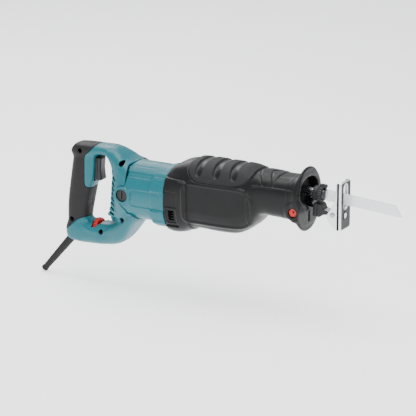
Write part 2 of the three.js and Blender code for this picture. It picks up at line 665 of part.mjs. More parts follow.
// ---------- shoe ----------
function shoeBracket() {
  const bar = box([BAR.rear, PIVOT.x], [-BAR.halfWidth, BAR.halfWidth], [BAR.low, BAR.high]);
  const eye = cylinder('y', -13.9, 13.9, 5, [PIVOT.x, 0, PIVOT.z], 20);
  const neck = box([PIVOT.x - 9, PIVOT.x], [-13.9, 13.9], [BAR.low, BAR.high]);
  const pinHole = cylinder('y', -20, 20, 2.5 + GAP, [PIVOT.x, 0, PIVOT.z], 16);
  return part('shoe_bracket', cut(join(bar, eye, neck), pinHole), BRIGHT_STEEL);
}

function shoeBracketCover() {
  const shape = outline([[-12, -36], [-12, -14.5], [0, -14], [3, -17], [4.5, -21.5], [14.5, -24.5],
    [14.5, -28.5], [5, -31], [0, -36]]);
  const passage = box([-20, 20], [-BAR.halfWidth - GAP, BAR.halfWidth + GAP],
    [BAR.low - GAP, BAR.high + GAP]);
  return part('shoe_bracket_cover', cut(plateXZ(shape, [-9, 9]), passage), BLACK_PLASTIC);
}

function shoePin() {
  const body = turned('y', [[-19, 0], [-19, 4], [-17.4, 4], [-17.4, 2.5], [17.4, 2.5], [17.4, 4],
    [19, 4], [19, 0]], [PIVOT.x, 0, PIVOT.z], 16);
  return part('shoe_pivot_pin', body, STEEL);
}

function pivotInDrawing() {
  const tilt = THREE.MathUtils.degToRad(NOSE.tilt);
  return {
    x: NOSE.x + PIVOT.x * Math.cos(tilt) + PIVOT.z * Math.sin(tilt),
    z: NOSE.z - PIVOT.x * Math.sin(tilt) + PIVOT.z * Math.cos(tilt),
  };
}

function shoePlate() {
  const front = PLATE.rear + PLATE.thickness;
  const face = roundedRectangle([-PLATE.halfWidth, PLATE.halfWidth], [PLATE.low, PLATE.high], 6);
  const bladeSlot = plateYZ(roundedRectangle([-6.5, 6.5], [PLATE.slotLow, PLATE.slotHigh], 6),
    [PLATE.rear - 6, front + 6], 3);
  const hole = cylinder('x', PLATE.rear - 6, front + 6, PLATE.holeR, [0, 0, PLATE.holeZ], 20);
  const plate = cut(plateYZ(face, [PLATE.rear, front], 3), bladeSlot, hole);
  const pivot = pivotInDrawing();
  const ears = bothSides((side, sign) => {
    const y = [14.3, PLATE.halfWidth].map((value) => value * sign).sort((a, b) => a - b);
    return plateXZ(outline([[PLATE.rear + 1, -12], [PLATE.rear + 1, 60], [291.5, 60], [290, 47],
      [287, 31.5], [279.6, 19.2], [274.5, 12.5], [274.5, 6], [277, 0], [284, -8], [289, -12]]), y);
  });
  const pinHole = cylinder('y', -30, 30, 2.5 + GAP, [pivot.x, 0, pivot.z], 12);
  return part('shoe_plate', cut(join(plate, ...ears), pinHole), BRIGHT_STEEL);
}

// A cross button whose middle is cut away where the shoe bracket's bar passes over it.
function shoeLockButton() {
  const body = cylinder('y', -BUTTON.halfLength, BUTTON.halfLength, BUTTON.r,
    [BUTTON.x, 0, BUTTON.z], 24);
  const notch = inNose(box([-60, 20], [-11, 11], [BAR.low - 0.8, 10]));
  return part('shoe_lock_button', cut(body, notch), RED_PLASTIC);
}

// ---------- handle ----------
const GUARD = { x: -201, z: -102, slope: 49.4, reach: 83, boreR: 4.2 };

// The cord guard's line runs back and down out of the handle's lower corner.
function onGuardLine(body) {
  return body.rotate([0, 90 + (90 - GUARD.slope), 0]).translate([GUARD.x, 0, GUARD.z]);
}

function cordGuard() {
  const body = turned('x', [[-15, GUARD.boreR], [-15, 10], [-12, 10], [-12, 7], [2, 6.8], [76, 5],
    [79, 5.9], [GUARD.reach, 5.9], [GUARD.reach, GUARD.boreR], [-15, GUARD.boreR]], [0, 0, 0], 16);
  return part('cord_guard', onGuardLine(body), RUBBER);
}

function guardRoom() {
  return onGuardLine(join(cylinder('x', -15.4, -11.6, 10.4, [0, 0, 0], 24),
    cylinder('x', -24, 20, 7.3, [0, 0, 0], 24)));
}

const VENT = { count: 9, top: 24, pitch: 8.6, height: 3.8 };

function handleShell(side, sign, forms) {
  const skin = cut(forms.outer, gripZone(GAP));
  const wall = join(skin, forms.underGrip);
  const bosses = SCREW_SITES.map(({ x, z, halfWidth }) => cylinder('y', GAP / 2 * sign, halfWidth * sign,
    SCREW.bossR, [x, 0, z], 10));
  const shell = join(cut(wall, forms.inside), join(...bosses).intersect(wall));
  const half = box([-BIG, BIG], sign > 0 ? [-BIG, GAP / 2] : [-GAP / 2, BIG], [-BIG, BIG]);
  const triggerWindow = box([-166, -120], [-TRIGGER.halfWidth - 0.5, TRIGGER.halfWidth + 0.5],
    [TRIGGER.low - 0.6, TRIGGER.high + 0.6]);
  const dialSlot = box([DIAL.x - DIAL.width / 2 - 0.7, DIAL.x + DIAL.width / 2 + 0.7],
    [-DIAL.r - 0.6, DIAL.r + 0.6], [DIAL.z - DIAL.r - 0.6, -50]);
  const lobeRoom = brushTurned(cylinder('y', 33 * sign, BIG * sign, CAP_R + 4.9, [BRUSH_X, 0, 0], 18));
  const vents = Array.from({ length: VENT.count }, (_, i) => box([-130, -104],
    [9 * sign, BIG * sign].sort((a, b) => a - b),
    [VENT.top - i * VENT.pitch - VENT.height, VENT.top - i * VENT.pitch]));
  const motorRoom = cylinder('x', -78, 0, 45.5, [0, 0, 0], 24);
  const tools = [half, triggerWindow, dialSlot, lobeRoom, motorRoom, guardRoom(), ...screwRoom(), ...vents];
  if (sign > 0) tools.push(lockButtonBore());
  return part(`handle_shell_${side}`, cut(shell, ...tools), TEAL);
}

function screwRoom() {
  return SCREW_SITES.flatMap(({ x, z }) => [
    cylinder('y', -BIG, -7, SCREW.recessR, [x, 0, z], 10),
    cylinder('y', -8, 9.5, SCREW.shankR + GAP, [x, 0, z], 8),
  ]);
}

function handleScrew(index) {
  const { x, z } = SCREW_SITES[index];
  const body = turned('y', [[-9.8, 0], [-9.8, SCREW.headR], [-7.3, SCREW.headR], [-7.3, SCREW.shankR],
    [9, SCREW.shankR], [9, 0]], [x, 0, z], 8);
  return part(`handle_screw_${index + 1}`, body, STEEL);
}

function gripCover(side, sign, forms) {
  const layer = cut(forms.outer, forms.skinInner).intersect(gripZone(0));
  const half = box([-BIG, BIG], sign > 0 ? [-BIG, GAP / 2] : [-GAP / 2, BIG], [-BIG, BIG]);
  const recesses = SCREW_SITES.map(({ x, z }) => cylinder('y', -BIG, -7, SCREW.recessR, [x, 0, z], 10));
  return part(`grip_cover_${side}`, cut(layer, half, guardRoom(), ...recesses), RUBBER);
}

function trigger() {
  const shape = new THREE.Shape();
  shape.moveTo(-158, TRIGGER.low);
  shape.lineTo(-141, TRIGGER.low);
  shape.quadraticCurveTo(-137, 5, -137.5, 9);
  shape.quadraticCurveTo(-140.5, 24, -138, 41);
  shape.quadraticCurveTo(-138, TRIGGER.high, -141, TRIGGER.high);
  shape.lineTo(-158, TRIGGER.high);
  shape.closePath();
  const pad = plateXZ(shape, [-TRIGGER.halfWidth, TRIGGER.halfWidth], 5);
  const stem = box([-167.5, -157], [-6, 6], [14, 34]);
  return part('trigger', join(pad, stem), BLACK_PLASTIC);
}

function switchUnit() {
  const body = box([-181.5, -168.5], [-9.2, 9.2], [-4, 40]);
  const pocket = box([-176, -160], [-6.6, 6.6], [13.4, 34.6]);
  return part('switch_unit', cut(body, pocket), BLACK_PLASTIC);
}

const LOCK = { x: -160, z: 28, r: 4.2 };

function lockButtonBore() {
  return cylinder('y', 10, BIG, LOCK.r + GAP, [LOCK.x, 0, LOCK.z], 16);
}

function lockButton() {
  return part('lock_on_button', turned('y', [[16.8, 0], [16.8, LOCK.r], [21.5, LOCK.r], [22.3, LOCK.r - 1],
    [22.3, 0]], [LOCK.x, 0, LOCK.z], 16), BLACK_PLASTIC);
}

function speedDial() {
  const wheel = turned('x', [[-DIAL.width / 2, 0], [-DIAL.width / 2, DIAL.r - 1.2],
    [-DIAL.width / 2 + 1.2, DIAL.r], [DIAL.width / 2 - 1.2, DIAL.r], [DIAL.width / 2, DIAL.r - 1.2],
    [DIAL.width / 2, 0]], [DIAL.x, 0, DIAL.z], 28);
  const knurls = Array.from({ length: 14 }, (_, i) => box([-6, 6], [-0.8, 0.8],
    [DIAL.r - 0.8, DIAL.r + 2]).rotate([(i + 0.5) * (360 / 14), 0, 0]).translate([DIAL.x, 0, DIAL.z]));
  return part('speed_dial', cut(wheel, ...knurls), RED_PLASTIC);
}

function speedController() {
  return part('speed_controller', box([-120, -100], [-11, 11], [-82, -69]), RESIN);
}

function cordClamp() {
  const saddle = box([-183, -172], [-11, 11], [-86, -80]);
  const groove = cylinder('x', -190, -160, 4.2, [0, 0, -87], 16);
  return part('cord_clamp', cut(saddle, groove), BLACK_PLASTIC);
}

// ---------- assembly ----------
function handleGroup() {
  const forms = {
    outer: handleForm(0),
    skinInner: handleForm(GRIP_SKIN),
    underGrip: handleForm(GRIP_SKIN + 1.5 * GAP),
    inside: handleForm(SHELL_WALL + GRIP_SKIN),
  };
  const group = new THREE.Group();
  bothSides((side, sign) => group.add(handleShell(side, sign, forms), gripCover(side, sign, forms)));
  SCREW_SITES.forEach((_, i) => group.add(handleScrew(i)));
  group.add(trigger(), switchUnit(), lockButton(), speedDial(), speedController());
  group.add(cordGuard(), cordClamp());
  return group;
}

function motorGroup() {
  const group = new THREE.Group();
  group.add(motorHousing(), fieldCore(), fieldCoil('field_coil_upper', 1), fieldCoil('field_coil_lower', -1));
  group.add(armatureShaft(), armatureCore(), commutator(), coolingFan());
  group.add(ballBearing('motor_bearing_rear', -101, -94, 4, 11));
  group.add(ballBearing('motor_bearing_front', 18, 28, SHAFT_R + GAP, 15));
  bothSides((side, sign) => {
    group.add(brushHolder(side, sign), carbonBrush(side, sign), brushCap(side, sign));
  });
  motorScrewSites().forEach((_, i) => group.add(motorScrew(i)));
  return group;
}

function gearGroup() {
  const whole = wholeGearHousing();
  const group = new THREE.Group();
  group.add(frontBoot(), gearHousing(whole), gearHousingCover(whole));
  group.add(bevelPinion(), crankGear(), crankPin(), gearBearing(), counterweight());
  group.add(sliderBushing(), sliderSeal(), shoeLockButton(), shoePlate());
  [0, 1, 2, 3].forEach((i) => group.add(coverScrew(i)));
  return group;
}

// The pieces drawn in the nose's own line, tilted together.
function noseGroup() {
  const group = new THREE.Group();
  group.add(slider(), clampBody(), clampSleeve(), blade());
  group.add(shoeBracket(), shoeBracketCover(), shoePin());
  group.rotation.y = THREE.MathUtils.degToRad(NOSE.tilt);
  group.position.set(NOSE.x, 0, NOSE.z);
  return group;
}

const saw = new THREE.Group();
saw.add(handleGroup(), motorGroup(), gearGroup(), noseGroup());
saw.position.set(...FRAME_SHIFT);

export default saw;
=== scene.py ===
import json
import math

import bpy
import numpy as np
from mathutils import Matrix, Vector


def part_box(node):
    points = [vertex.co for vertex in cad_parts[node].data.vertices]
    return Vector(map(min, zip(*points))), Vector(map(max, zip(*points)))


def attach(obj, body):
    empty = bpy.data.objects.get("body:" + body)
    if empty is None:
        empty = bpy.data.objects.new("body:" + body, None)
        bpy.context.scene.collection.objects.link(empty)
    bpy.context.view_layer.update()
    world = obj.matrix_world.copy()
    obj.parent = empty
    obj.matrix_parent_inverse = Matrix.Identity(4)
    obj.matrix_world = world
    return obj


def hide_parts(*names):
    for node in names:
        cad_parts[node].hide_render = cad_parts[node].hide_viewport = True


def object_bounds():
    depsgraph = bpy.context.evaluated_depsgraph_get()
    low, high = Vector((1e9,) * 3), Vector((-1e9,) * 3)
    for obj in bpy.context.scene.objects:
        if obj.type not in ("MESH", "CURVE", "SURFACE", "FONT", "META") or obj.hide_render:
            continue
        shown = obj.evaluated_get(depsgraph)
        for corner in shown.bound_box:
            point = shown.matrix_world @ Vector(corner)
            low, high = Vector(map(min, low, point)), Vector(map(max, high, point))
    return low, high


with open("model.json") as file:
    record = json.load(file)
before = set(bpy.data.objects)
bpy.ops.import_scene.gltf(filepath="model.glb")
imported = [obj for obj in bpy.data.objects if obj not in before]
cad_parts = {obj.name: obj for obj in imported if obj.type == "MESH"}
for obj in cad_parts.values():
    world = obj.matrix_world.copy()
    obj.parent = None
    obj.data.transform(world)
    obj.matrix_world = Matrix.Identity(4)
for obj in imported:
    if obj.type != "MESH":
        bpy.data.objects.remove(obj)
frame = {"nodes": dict(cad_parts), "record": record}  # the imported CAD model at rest
cad_low, cad_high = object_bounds()

# ---------- lengths are in millimetres about the motor's datum; a mesh is turned into metres at the end ----------
MM = 0.001
SHAFT_AHEAD = 39.0  # the armature shaft's front end, ahead of the datum
shaft_low, shaft_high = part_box("armature_shaft")
DATUM = np.array([
    shaft_high.x - SHAFT_AHEAD * MM,
    (shaft_low.y + shaft_high.y) / 2,
    (shaft_low.z + shaft_high.z) / 2,
])
CELL = 0.95  # mesh size of the large shells
SEAM = 0.15  # half the gap between two touching shells
BIG = 500.0

NOSE_TILT = math.radians(4.2)
NOSE_AT = np.array([260.0, 0.0, 38.0])


# ---------- fields: functions of points that are below zero inside a shape and grow like a distance ----------
def line(points):
    """A smooth line through a few (position, value) points."""
    at, value = np.array(points, float).T
    before = np.maximum(np.arange(len(at)) - 1, 0)
    after = np.minimum(np.arange(len(at)) + 1, len(at) - 1)
    slope = (value[after] - value[before]) / (at[after] - at[before])

    def evaluate(x):
        x = np.clip(x, at[0], at[-1])
        i = np.clip(np.searchsorted(at, x, side="right") - 1, 0, len(at) - 2)
        span = at[i + 1] - at[i]
        t = (x - at[i]) / span
        eased = value[i] + (value[i + 1] - value[i]) * t * t * (3 - 2 * t)
        return eased + span * (slope[i] * t * (1 - t) ** 2 - slope[i + 1] * t * t * (1 - t))

    return evaluate


def oval(a, b, half_a, half_b, power=2.0):
    """A superellipse with these half sizes."""
    u = np.abs(a) / half_a
    v = np.abs(b) / half_b
    size = (u**power + v**power) ** (1 / power) + 1e-6
    slope = np.hypot((u / size) ** (power - 1) / half_a, (v / size) ** (power - 1) / half_b)
    return (size - 1) / slope


def join(a, b, blend):
    """Both shapes, with a fillet of about this size where they meet."""
    h = np.maximum(blend - np.abs(a - b), 0) / blend
    return np.minimum(a, b) - h * h * blend / 4


def common(a, b, blend):
    return -join(-a, -b, blend)


def cut(a, b, blend):
    """Shape a without shape b, with the new edge rounded."""
    return -join(-a, b, blend)


def rectangle(a, b, range_a, range_b, radius):
    """A rounded rectangle."""
    qa = np.abs(a - sum(range_a) / 2) - (range_a[1] - range_a[0]) / 2 + radius
    qb = np.abs(b - sum(range_b) / 2) - (range_b[1] - range_b[0]) / 2 + radius
    outside = np.hypot(np.maximum(qa, 0), np.maximum(qb, 0))
    return outside + np.minimum(np.maximum(qa, qb), 0) - radius


def block(x, y, z, range_x, range_y, range_z, radius):
    """A box with rounded edges."""
    q = [
        np.abs(v - sum(r) / 2) - (r[1] - r[0]) / 2 + radius
        for v, r in ((x, range_x), (y, range_y), (z, range_z))
    ]
    outside = np.sqrt(sum(np.maximum(v, 0) ** 2 for v in q))
    return outside + np.minimum(np.maximum(np.maximum(q[0], q[1]), q[2]), 0) - radius


def capsule(a, b, start, end, radius):
    """A thick straight line with round ends."""
    da, db = end[0] - start[0], end[1] - start[1]
    t = np.clip(((a - start[0]) * da + (b - start[1]) * db) / (da * da + db * db), 0, 1)
    return np.hypot(a - start[0] - t * da, b - start[1] - t * db) - radius


def drum(along, radius, start, end, size, edge):
    """A cylinder with rounded edges, from the distance along its axis and the distance from it."""
    return common(radius - size, np.abs(along - (start + end) / 2) - (end - start) / 2, edge)


def fade(distance, width):
    """1 inside a shape and 0 outside it, turning over this width."""
    t = np.clip((width - distance) / (2 * width), 0, 1)
    return t * t * (3 - 2 * t)


def ridge(distance, width):
    """A smooth bump along the line where the distance is zero."""
    return np.maximum(1 - (distance / width) ** 2, 0) ** 2


class Outline:
    """A side view outline with rounded corners, as a distance that is looked up on a fine grid."""

    STEP = 0.6
    MARGIN = 24.0

    def __init__(self, points, radius, arc_points=5):
        self.points = self.rounded(np.array(points, float), radius, arc_points)
        low = self.points.min(0) - self.MARGIN
        high = self.points.max(0) + self.MARGIN
        self.low = low
        a, b = (np.arange(low[i], high[i], self.STEP) for i in (0, 1))
        self.grid = self.measure(*np.meshgrid(a, b, indexing="ij"))

    @staticmethod
    def rounded(points, radius, arc_points):
        made = []
        for i, corner in enumerate(points):
            to_before = points[i - 1] - corner
            to_after = points[(i + 1) % len(points)] - corner
            lengths = np.hypot(*to_before), np.hypot(*to_after)
            reach = min(radius, 0.45 * lengths[0], 0.45 * lengths[1])
            start = corner + to_before / lengths[0] * reach
            end = corner + to_after / lengths[1] * reach
            for t in np.linspace(0, 1, arc_points):
                made.append((1 - t) ** 2 * start + 2 * t * (1 - t) * corner + t * t * end)
        return np.array(made)

    def measure(self, a, b):
        nearest = np.full(a.shape, np.inf)
        inside = np.zeros(a.shape, bool)
        for start, end in zip(self.points, np.roll(self.points, -1, 0)):
            nearest = np.minimum(nearest, capsule(a, b, start, end, 0.0))
            if start[1] != end[1]:
                spans = (b < start[1]) != (b < end[1])
                crossing = start[0] + (b - start[1]) / (end[1] - start[1]) * (end[0] - start[0])
                inside ^= spans & (a < crossing)
        return np.where(inside, -nearest, nearest)

    def __call__(self, a, b):
        u = np.clip((a - self.low[0]) / self.STEP, 0, self.grid.shape[0] - 1.001)
        v = np.clip((b - self.low[1]) / self.STEP, 0, self.grid.shape[1] - 1.001)
        i, j = u.astype(int), v.astype(int)
        s, t = u - i, v - j
        near = self.grid[i, j] * (1 - s) + self.grid[i + 1, j] * s
        far = self.grid[i, j + 1] * (1 - s) + self.grid[i + 1, j + 1] * s
        return near * (1 - t) + far * t


def in_nose(x, y, z):
    """Points in the nose's own line, which runs along X and is tilted down at the front."""
    c, s = math.cos(NOSE_TILT), math.sin(NOSE_TILT)
    dx, dz = x - NOSE_AT[0], z - NOSE_AT[2]
    return dx * c - dz * s, y, dx * s + dz * c


# ---------- meshes ----------
CORNERS = np.array([[a, b, c] for a in (0, 1) for b in (0, 1) for c in (0, 1)])
EDGES = [(p, q) for p in range(8) for q in range(p + 1, 8) if np.abs(CORNERS[p] - CORNERS[q]).sum() == 1]


def grid_values(field, low, high, cell):
    axes = [np.arange(lo - 1.6 * cell, hi + 2.6 * cell, cell) for lo, hi in zip(low, high)]
    x, y, z = np.meshgrid(*axes, indexing="ij")
    return np.array([a[0] for a in axes]), field(x, y, z)


def cell_vertices(values, start, cell):
    """One vertex in each cell that the surface crosses, at the middle of its crossings."""
    inside = values < 0
    shape = tuple(n - 1 for n in values.shape)
    count = np.zeros(shape, np.int8)
    for a, b, c in CORNERS:
        count += inside[a:a + shape[0], b:b + shape[1], c:c + shape[2]]
    cells = np.argwhere((count > 0) & (count < 8))
    at = [values[tuple((cells + corner).T)] for corner in CORNERS]
    total = np.zeros((len(cells), 3))
    crossings = np.zeros(len(cells))
    for p, q in EDGES:
        crossed = (at[p] < 0) != (at[q] < 0)
        t = np.where(crossed, at[p] / np.where(crossed, at[p] - at[q], 1), 0)
        total += crossed[:, None] * (CORNERS[p] + t[:, None] * (CORNERS[q] - CORNERS[p]))
        crossings += crossed
    number = np.full(shape, -1)
    number[tuple(cells.T)] = np.arange(len(cells))
    return start + (cells + total / crossings[:, None]) * cell, number, inside


def cell_faces(number, inside):
    """One four-sided face across each grid edge that the surface crosses."""
    faces = []
    for axis in range(3):
        num = np.moveaxis(number, axis, 0)
        sides = np.moveaxis(inside, axis, 0)
        first, second = sides[:-1, 1:-1, 1:-1], sides[1:, 1:-1, 1:-1]
        ring = [num[:, :-1, :-1], num[:, 1:, :-1], num[:, 1:, 1:], num[:, :-1, 1:]]
        for leaving, order in ((first & ~second, (0, 1, 2, 3)), (second & ~first, (3, 2, 1, 0))):
            turned = order if axis != 1 else order[::-1]
            faces.append(np.stack([ring[i][leaving] for i in turned], 1))
    return np.concatenate(faces)


def settle(points, field, cell, steps=3):
    """Moves the vertices onto the surface along the field's slope."""
    reach = 0.12 * cell
    for _ in range(steps):
        value = field(*points.T)
        slope = np.stack([
            (field(*(points + reach * axis).T) - field(*(points - reach * axis).T)) / (2 * reach)
            for axis in np.eye(3)
        ], 1)
        length = np.maximum((slope**2).sum(1), 0.2)
        points = points - slope * np.clip(value / length, -0.6 * cell, 0.6 * cell)[:, None]
    return points


def relax(points, faces):
    """Evens out the vertices by moving each halfway to the mean of its neighbours."""
    total = np.zeros_like(points)
    count = np.zeros(len(points))
    for i in range(4):
        a, b = faces[:, i], faces[:, (i + 1) % 4]
        for here, there in ((a, b), (b, a)):
            for k in range(3):
                total[:, k] += np.bincount(here, points[there, k], len(points))
            count += np.bincount(here, minlength=len(points))
    return 0.5 * points + 0.5 * total / np.maximum(count, 1)[:, None]


def mesh_object(name, points, faces, smooth=True):
    mesh = bpy.data.meshes.new(name)
    placed = points * MM + DATUM
    mesh.from_pydata(placed.tolist(), [], [list(map(int, f)) for f in faces])
    mesh.polygons.foreach_set("use_smooth", [smooth] * len(mesh.polygons))
    mesh.update()
    made = bpy.data.objects.new(name, mesh)
    bpy.context.scene.collection.objects.link(made)
    return made


def sculpted(name, field, low, high, cell=None, zones=None):
    """A closed mesh of the surface where the field is zero. zones are named masks for its material."""
    cell = cell or CELL
    start, values = grid_values(field, low, high, cell)
    points, number, inside = cell_vertices(values, start, cell)
    faces = cell_faces(number, inside)
    points = settle(points, field, cell)
    points = settle(relax(points, faces), field, cell, steps=2)
    made = mesh_object(name, points, faces)
    for zone, mask in (zones or {}).items():
        attribute = made.data.attributes.new(zone, "FLOAT", "POINT")
        attribute.data.foreach_set("value", mask(*points.T).astype(np.float32))
    return made


def lathe(name, profile, place, sides=72, smooth_angle=35):
    """A turned piece: profile is a list of (along, radius) and place moves points from the X axis."""
    profile = np.array(profile, float)
    turns = np.linspace(0, 2 * math.pi, sides, endpoint=False)
    rings = [
        np.stack([np.full(sides, along), radius * np.cos(turns), radius * np.sin(turns)], 1)
        for along, radius in profile
    ]
    points = np.concatenate(rings)
    closed = np.allclose(profile[0], profile[-1])
    if closed:
        points = points[:-sides]
    count = len(points)
    faces = []
    for r in range(len(profile) - 1):
        for i in range(sides):
            j = (i + 1) % sides
            faces.append([
                (r * sides + i) % count, (r * sides + j) % count,
                ((r + 1) * sides + j) % count, ((r + 1) * sides + i) % count,
            ])
    if not closed:
        faces += [list(range(sides))[::-1], [count - sides + i for i in range(sides)]]
    made = mesh_object(name, place(points), faces)
    tidy_normals(made, smooth_angle)
    return made


def tidy_normals(made, angle):
    """Points every face outwards and keeps edges sharper than this angle crisp."""
    bpy.context.view_layer.objects.active = made
    made.select_set(True)
    bpy.ops.object.mode_set(mode="EDIT")
    bpy.ops.mesh.select_all(action="SELECT")
    bpy.ops.mesh.normals_make_consistent(inside=False)
    bpy.ops.object.mode_set(mode="OBJECT")
    bpy.ops.object.shade_smooth_by_angle(angle=math.radians(angle))
    made.select_set(False)


def bevelled(made, width, segments=3):
    """Rounds the sharp edges of a mesh."""
    modifier = made.modifiers.new("edge", "BEVEL")
    modifier.width = width * MM
    modifier.segments = segments
    modifier.limit_method = "ANGLE"
    modifier.angle_limit = math.radians(30)
    modifier.harden_normals = False
    bpy.context.view_layer.objects.active = made
    bpy.ops.object.modifier_apply(modifier="edge")
    tidy_normals(made, 40)
    return made


def stacked(name, outline, ranges, place=None):
    """A plate with this XZ outline between two Y values."""
    outline = np.array(outline, float)
    count = len(outline)
    points = np.concatenate([
        np.stack([outline[:, 0], np.full(count, y), outline[:, 1]], 1) for y in ranges
    ])
    faces = [[i, (i + 1) % count, count + (i + 1) % count, count + i] for i in range(count)]
    faces += [list(range(count))[::-1], [count + i for i in range(count)]]
    made = mesh_object(name, place(points) if place else points, faces)
    tidy_normals(made, 35)
    return made


def nose_place(points):
    """From the nose's own line to the datum's frame."""
    c, s = math.cos(NOSE_TILT), math.sin(NOSE_TILT)
    x, y, z = points.T
    return np.stack([x * c + z * s, y, -x * s + z * c], 1) + NOSE_AT


# ---------- outer forms ----------
BOOT_TOP = line([
    (0, 50), (17, 60.5), (34, 65), (50, 66.8), (95, 67), (134, 66.5), (152, 63), (166, 61.8), (200, 61.8), (234, 63),
])
BOOT_BOTTOM = line([
    (0, -53.5), (10, -55), (24, -53), (38, -47.5), (54, -44.5), (86, -45.5), (106, -45), (122, -42.5),
    (138, -33.5), (152, -19), (163, -6), (185, -5), (205, -6), (234, -8),
])
BOOT_WIDTH = line([(0, 48.5), (30, 49), (95, 47), (134, 44), (160, 39), (200, 37), (234, 37)])
BOOT_POWER = 2.7
GRIP_REAR = line([(-102, -195), (-92, -200.5), (-42, -201.5), (0, -197), (45, -190), (62, -185)])
GRIP_FRONT = line([(-102, -170), (-57, -164), (-10, -153.5), (8, -147.5), (45, -144.5), (62, -144)])
GRIP_WIDTH = line([(-102, 17), (-60, 19), (0, 19.5), (62, 18)])
BRIDGE_TOP = line([(-192, 58), (-181, 63), (-138, 65.5), (-110, 64.5), (-96, 58.5), (-84, 50.5), (-74, 46.5)])
BRIDGE_BOTTOM = line([(-192, 44), (-150, 46), (-120, 46), (-108, 20), (-74, 0), (-60, -4)])
BRIDGE_WIDTH = line([(-192, 16), (-180, 18.5), (-130, 20.5), (-105, 28), (-74, 42), (-60, 46)])
HUB_TOP = line([(-126, 48), (-100, 54), (-86, 50.5), (-74, 47.5)])
HUB_BOTTOM = line([(-126, -60), (-100, -64), (-74, -48.5)])
HUB_WIDTH = line([(-126, 14), (-118, 19), (-111, 25), (-96, 39), (-84, 45.5), (-74, 48)])
BAR_TOP = line([(-206, -75), (-190, -66), (-150, -64), (-118, -62), (-66, -25)])
BAR_BOTTOM = line([(-206, -92), (-196, -103), (-154, -104), (-113, -99), (-92, -88), (-66, -52)])
BAR_WIDTH = line([(-206, 14), (-196, 18), (-150, 21.5), (-125, 21.5), (-100, 28), (-66, 36)])

MOTOR_R = 47.6
BRUSH = {"x": -77.5, "turn": math.radians(1.5), "cap_r": 10.0, "lobe_r": 15.0}
BUTTON = {"x": 226.0, "z": 12.5, "r": 7.2, "half": 37.5}
DIAL = {"x": -148.0, "z": -78.5, "r": 17.5, "half": 3.5}
SCREWS = [(-88, 45.5), (-88, -49), (-133, -78), (-171.5, 54), (-189, -64)]
LOOP = Outline([
    (-161, -59), (-155, -30), (-151, -8), (-145.5, 5), (-143, 30), (-143, 46), (-122, 46), (-115.5, 40), (-112.5, 30),
    (-111, 19), (-112, 8), (-113, -3), (-115, -21), (-117.5, -34), (-120, -45), (-123, -54), (-128, -60.5),
    (-136, -63.5), (-152, -63.5),
], 7)


def along_x(x, y, z, top, bottom, width, power):
    high, low = top(x), bottom(x)
    return oval(y, z - (high + low) / 2, width(x), (high - low) / 2, power)


def boot_form(x, y, z):
    return along_x(x, y, z, BOOT_TOP, BOOT_BOTTOM, BOOT_WIDTH, BOOT_POWER)


def boot_turn(x, y, z):
    """Degrees from the boot's top line round to its side at 90 and its belly at 180."""
    high, low = BOOT_TOP(x), BOOT_BOTTOM(x)
    half = (high - low) / 2
    return np.degrees(np.arctan2(np.abs(y) / BOOT_WIDTH(x), (z - (high + low) / 2) / half))


def grip_form(x, y, z):
    front, rear = GRIP_FRONT(z), GRIP_REAR(z)
    return oval(x - (front + rear) / 2, y, (front - rear) / 2, GRIP_WIDTH(z), 2.6)


def handle_form(x, y, z):
    """The D-handle: grip, bridge, hub and lower bar, blended into one form."""
    grip = common(grip_form(x, y, z), np.maximum(-97 - z, z - 60), 6)
    bridge = common(along_x(x, y, z, BRIDGE_TOP, BRIDGE_BOTTOM, BRIDGE_WIDTH, 2.6), -192 - x, 8)
    hub = common(along_x(x, y, z, HUB_TOP, HUB_BOTTOM, HUB_WIDTH, 2.1), np.maximum(-126 - x, x + 69), 4)
    cheek = block(x, y, z, (-124, -82), (-28, 28), (-46, 30), 3)
    hub = join(hub, common(cheek, 3.4 - LOOP(x, z), 2.0), 5)
    bar = along_x(x, y, z, BAR_TOP, BAR_BOTTOM, BAR_WIDTH, 2.6)
    bar = common(common(bar, -204 - x, 8), x + 66, 3)
    whole = join(join(join(grip, bridge, 8), bar, 8), hub, 6)
    return cut(whole, LOOP(x, z), 6)


# ---------- front boot ----------
PAD = {"x": (39.0, 150.0), "arc": 50.5, "radius": 24.0}
ARC_PER_DEGREE = 0.84
GROOVES = [(57.0, 59.6), (87.0, 91.3), (115.5, 121.3)]
PANEL_X, PANEL_Z = (40.0, 151.0), (-25.0, 34.0)
COLLAR_X, COLLAR_Z = (-6.0, 42.5), (-70.0, 39.0)
STEP_X, STEP_Z = (-6.0, 24.5), (-41.0, 18.5)
FRAME_X, FRAME_Z = (2.5, 25.0), (-35.5, -7.0)
WINDOW_X, WINDOW_Z = (8.5, 18.8), (-29.0, -12.5)
FLANGE = {"x": 232.5, "z": 27.0, "half_width": 41.0, "half_height": 51.5, "half": 3.0}
MOUTH = {"z": 41.0, "half_width": 31.0, "half_height": 21.5}
BOOT_SKIN = 2.7


def pad_distance(x, arc):
    return rectangle(x, arc, PAD["x"], (-PAD["arc"], PAD["arc"]), PAD["radius"])


def scallops(x, arc):
    """The depth of the three finger grooves that cross the top pad."""
    depth = np.zeros_like(x)
    for top, end in GROOVES:
        off = x - top - (end - top) * (arc / 43) ** 2
        across = np.hypot(off, np.maximum(arc - 38, 0)) / 7.2
        lean = 0.9 - 0.3 * np.clip(off / 7.2, -1, 1)
        depth = np.maximum(depth, 2.5 * lean * np.maximum(1 - across**3, 0))
    return depth


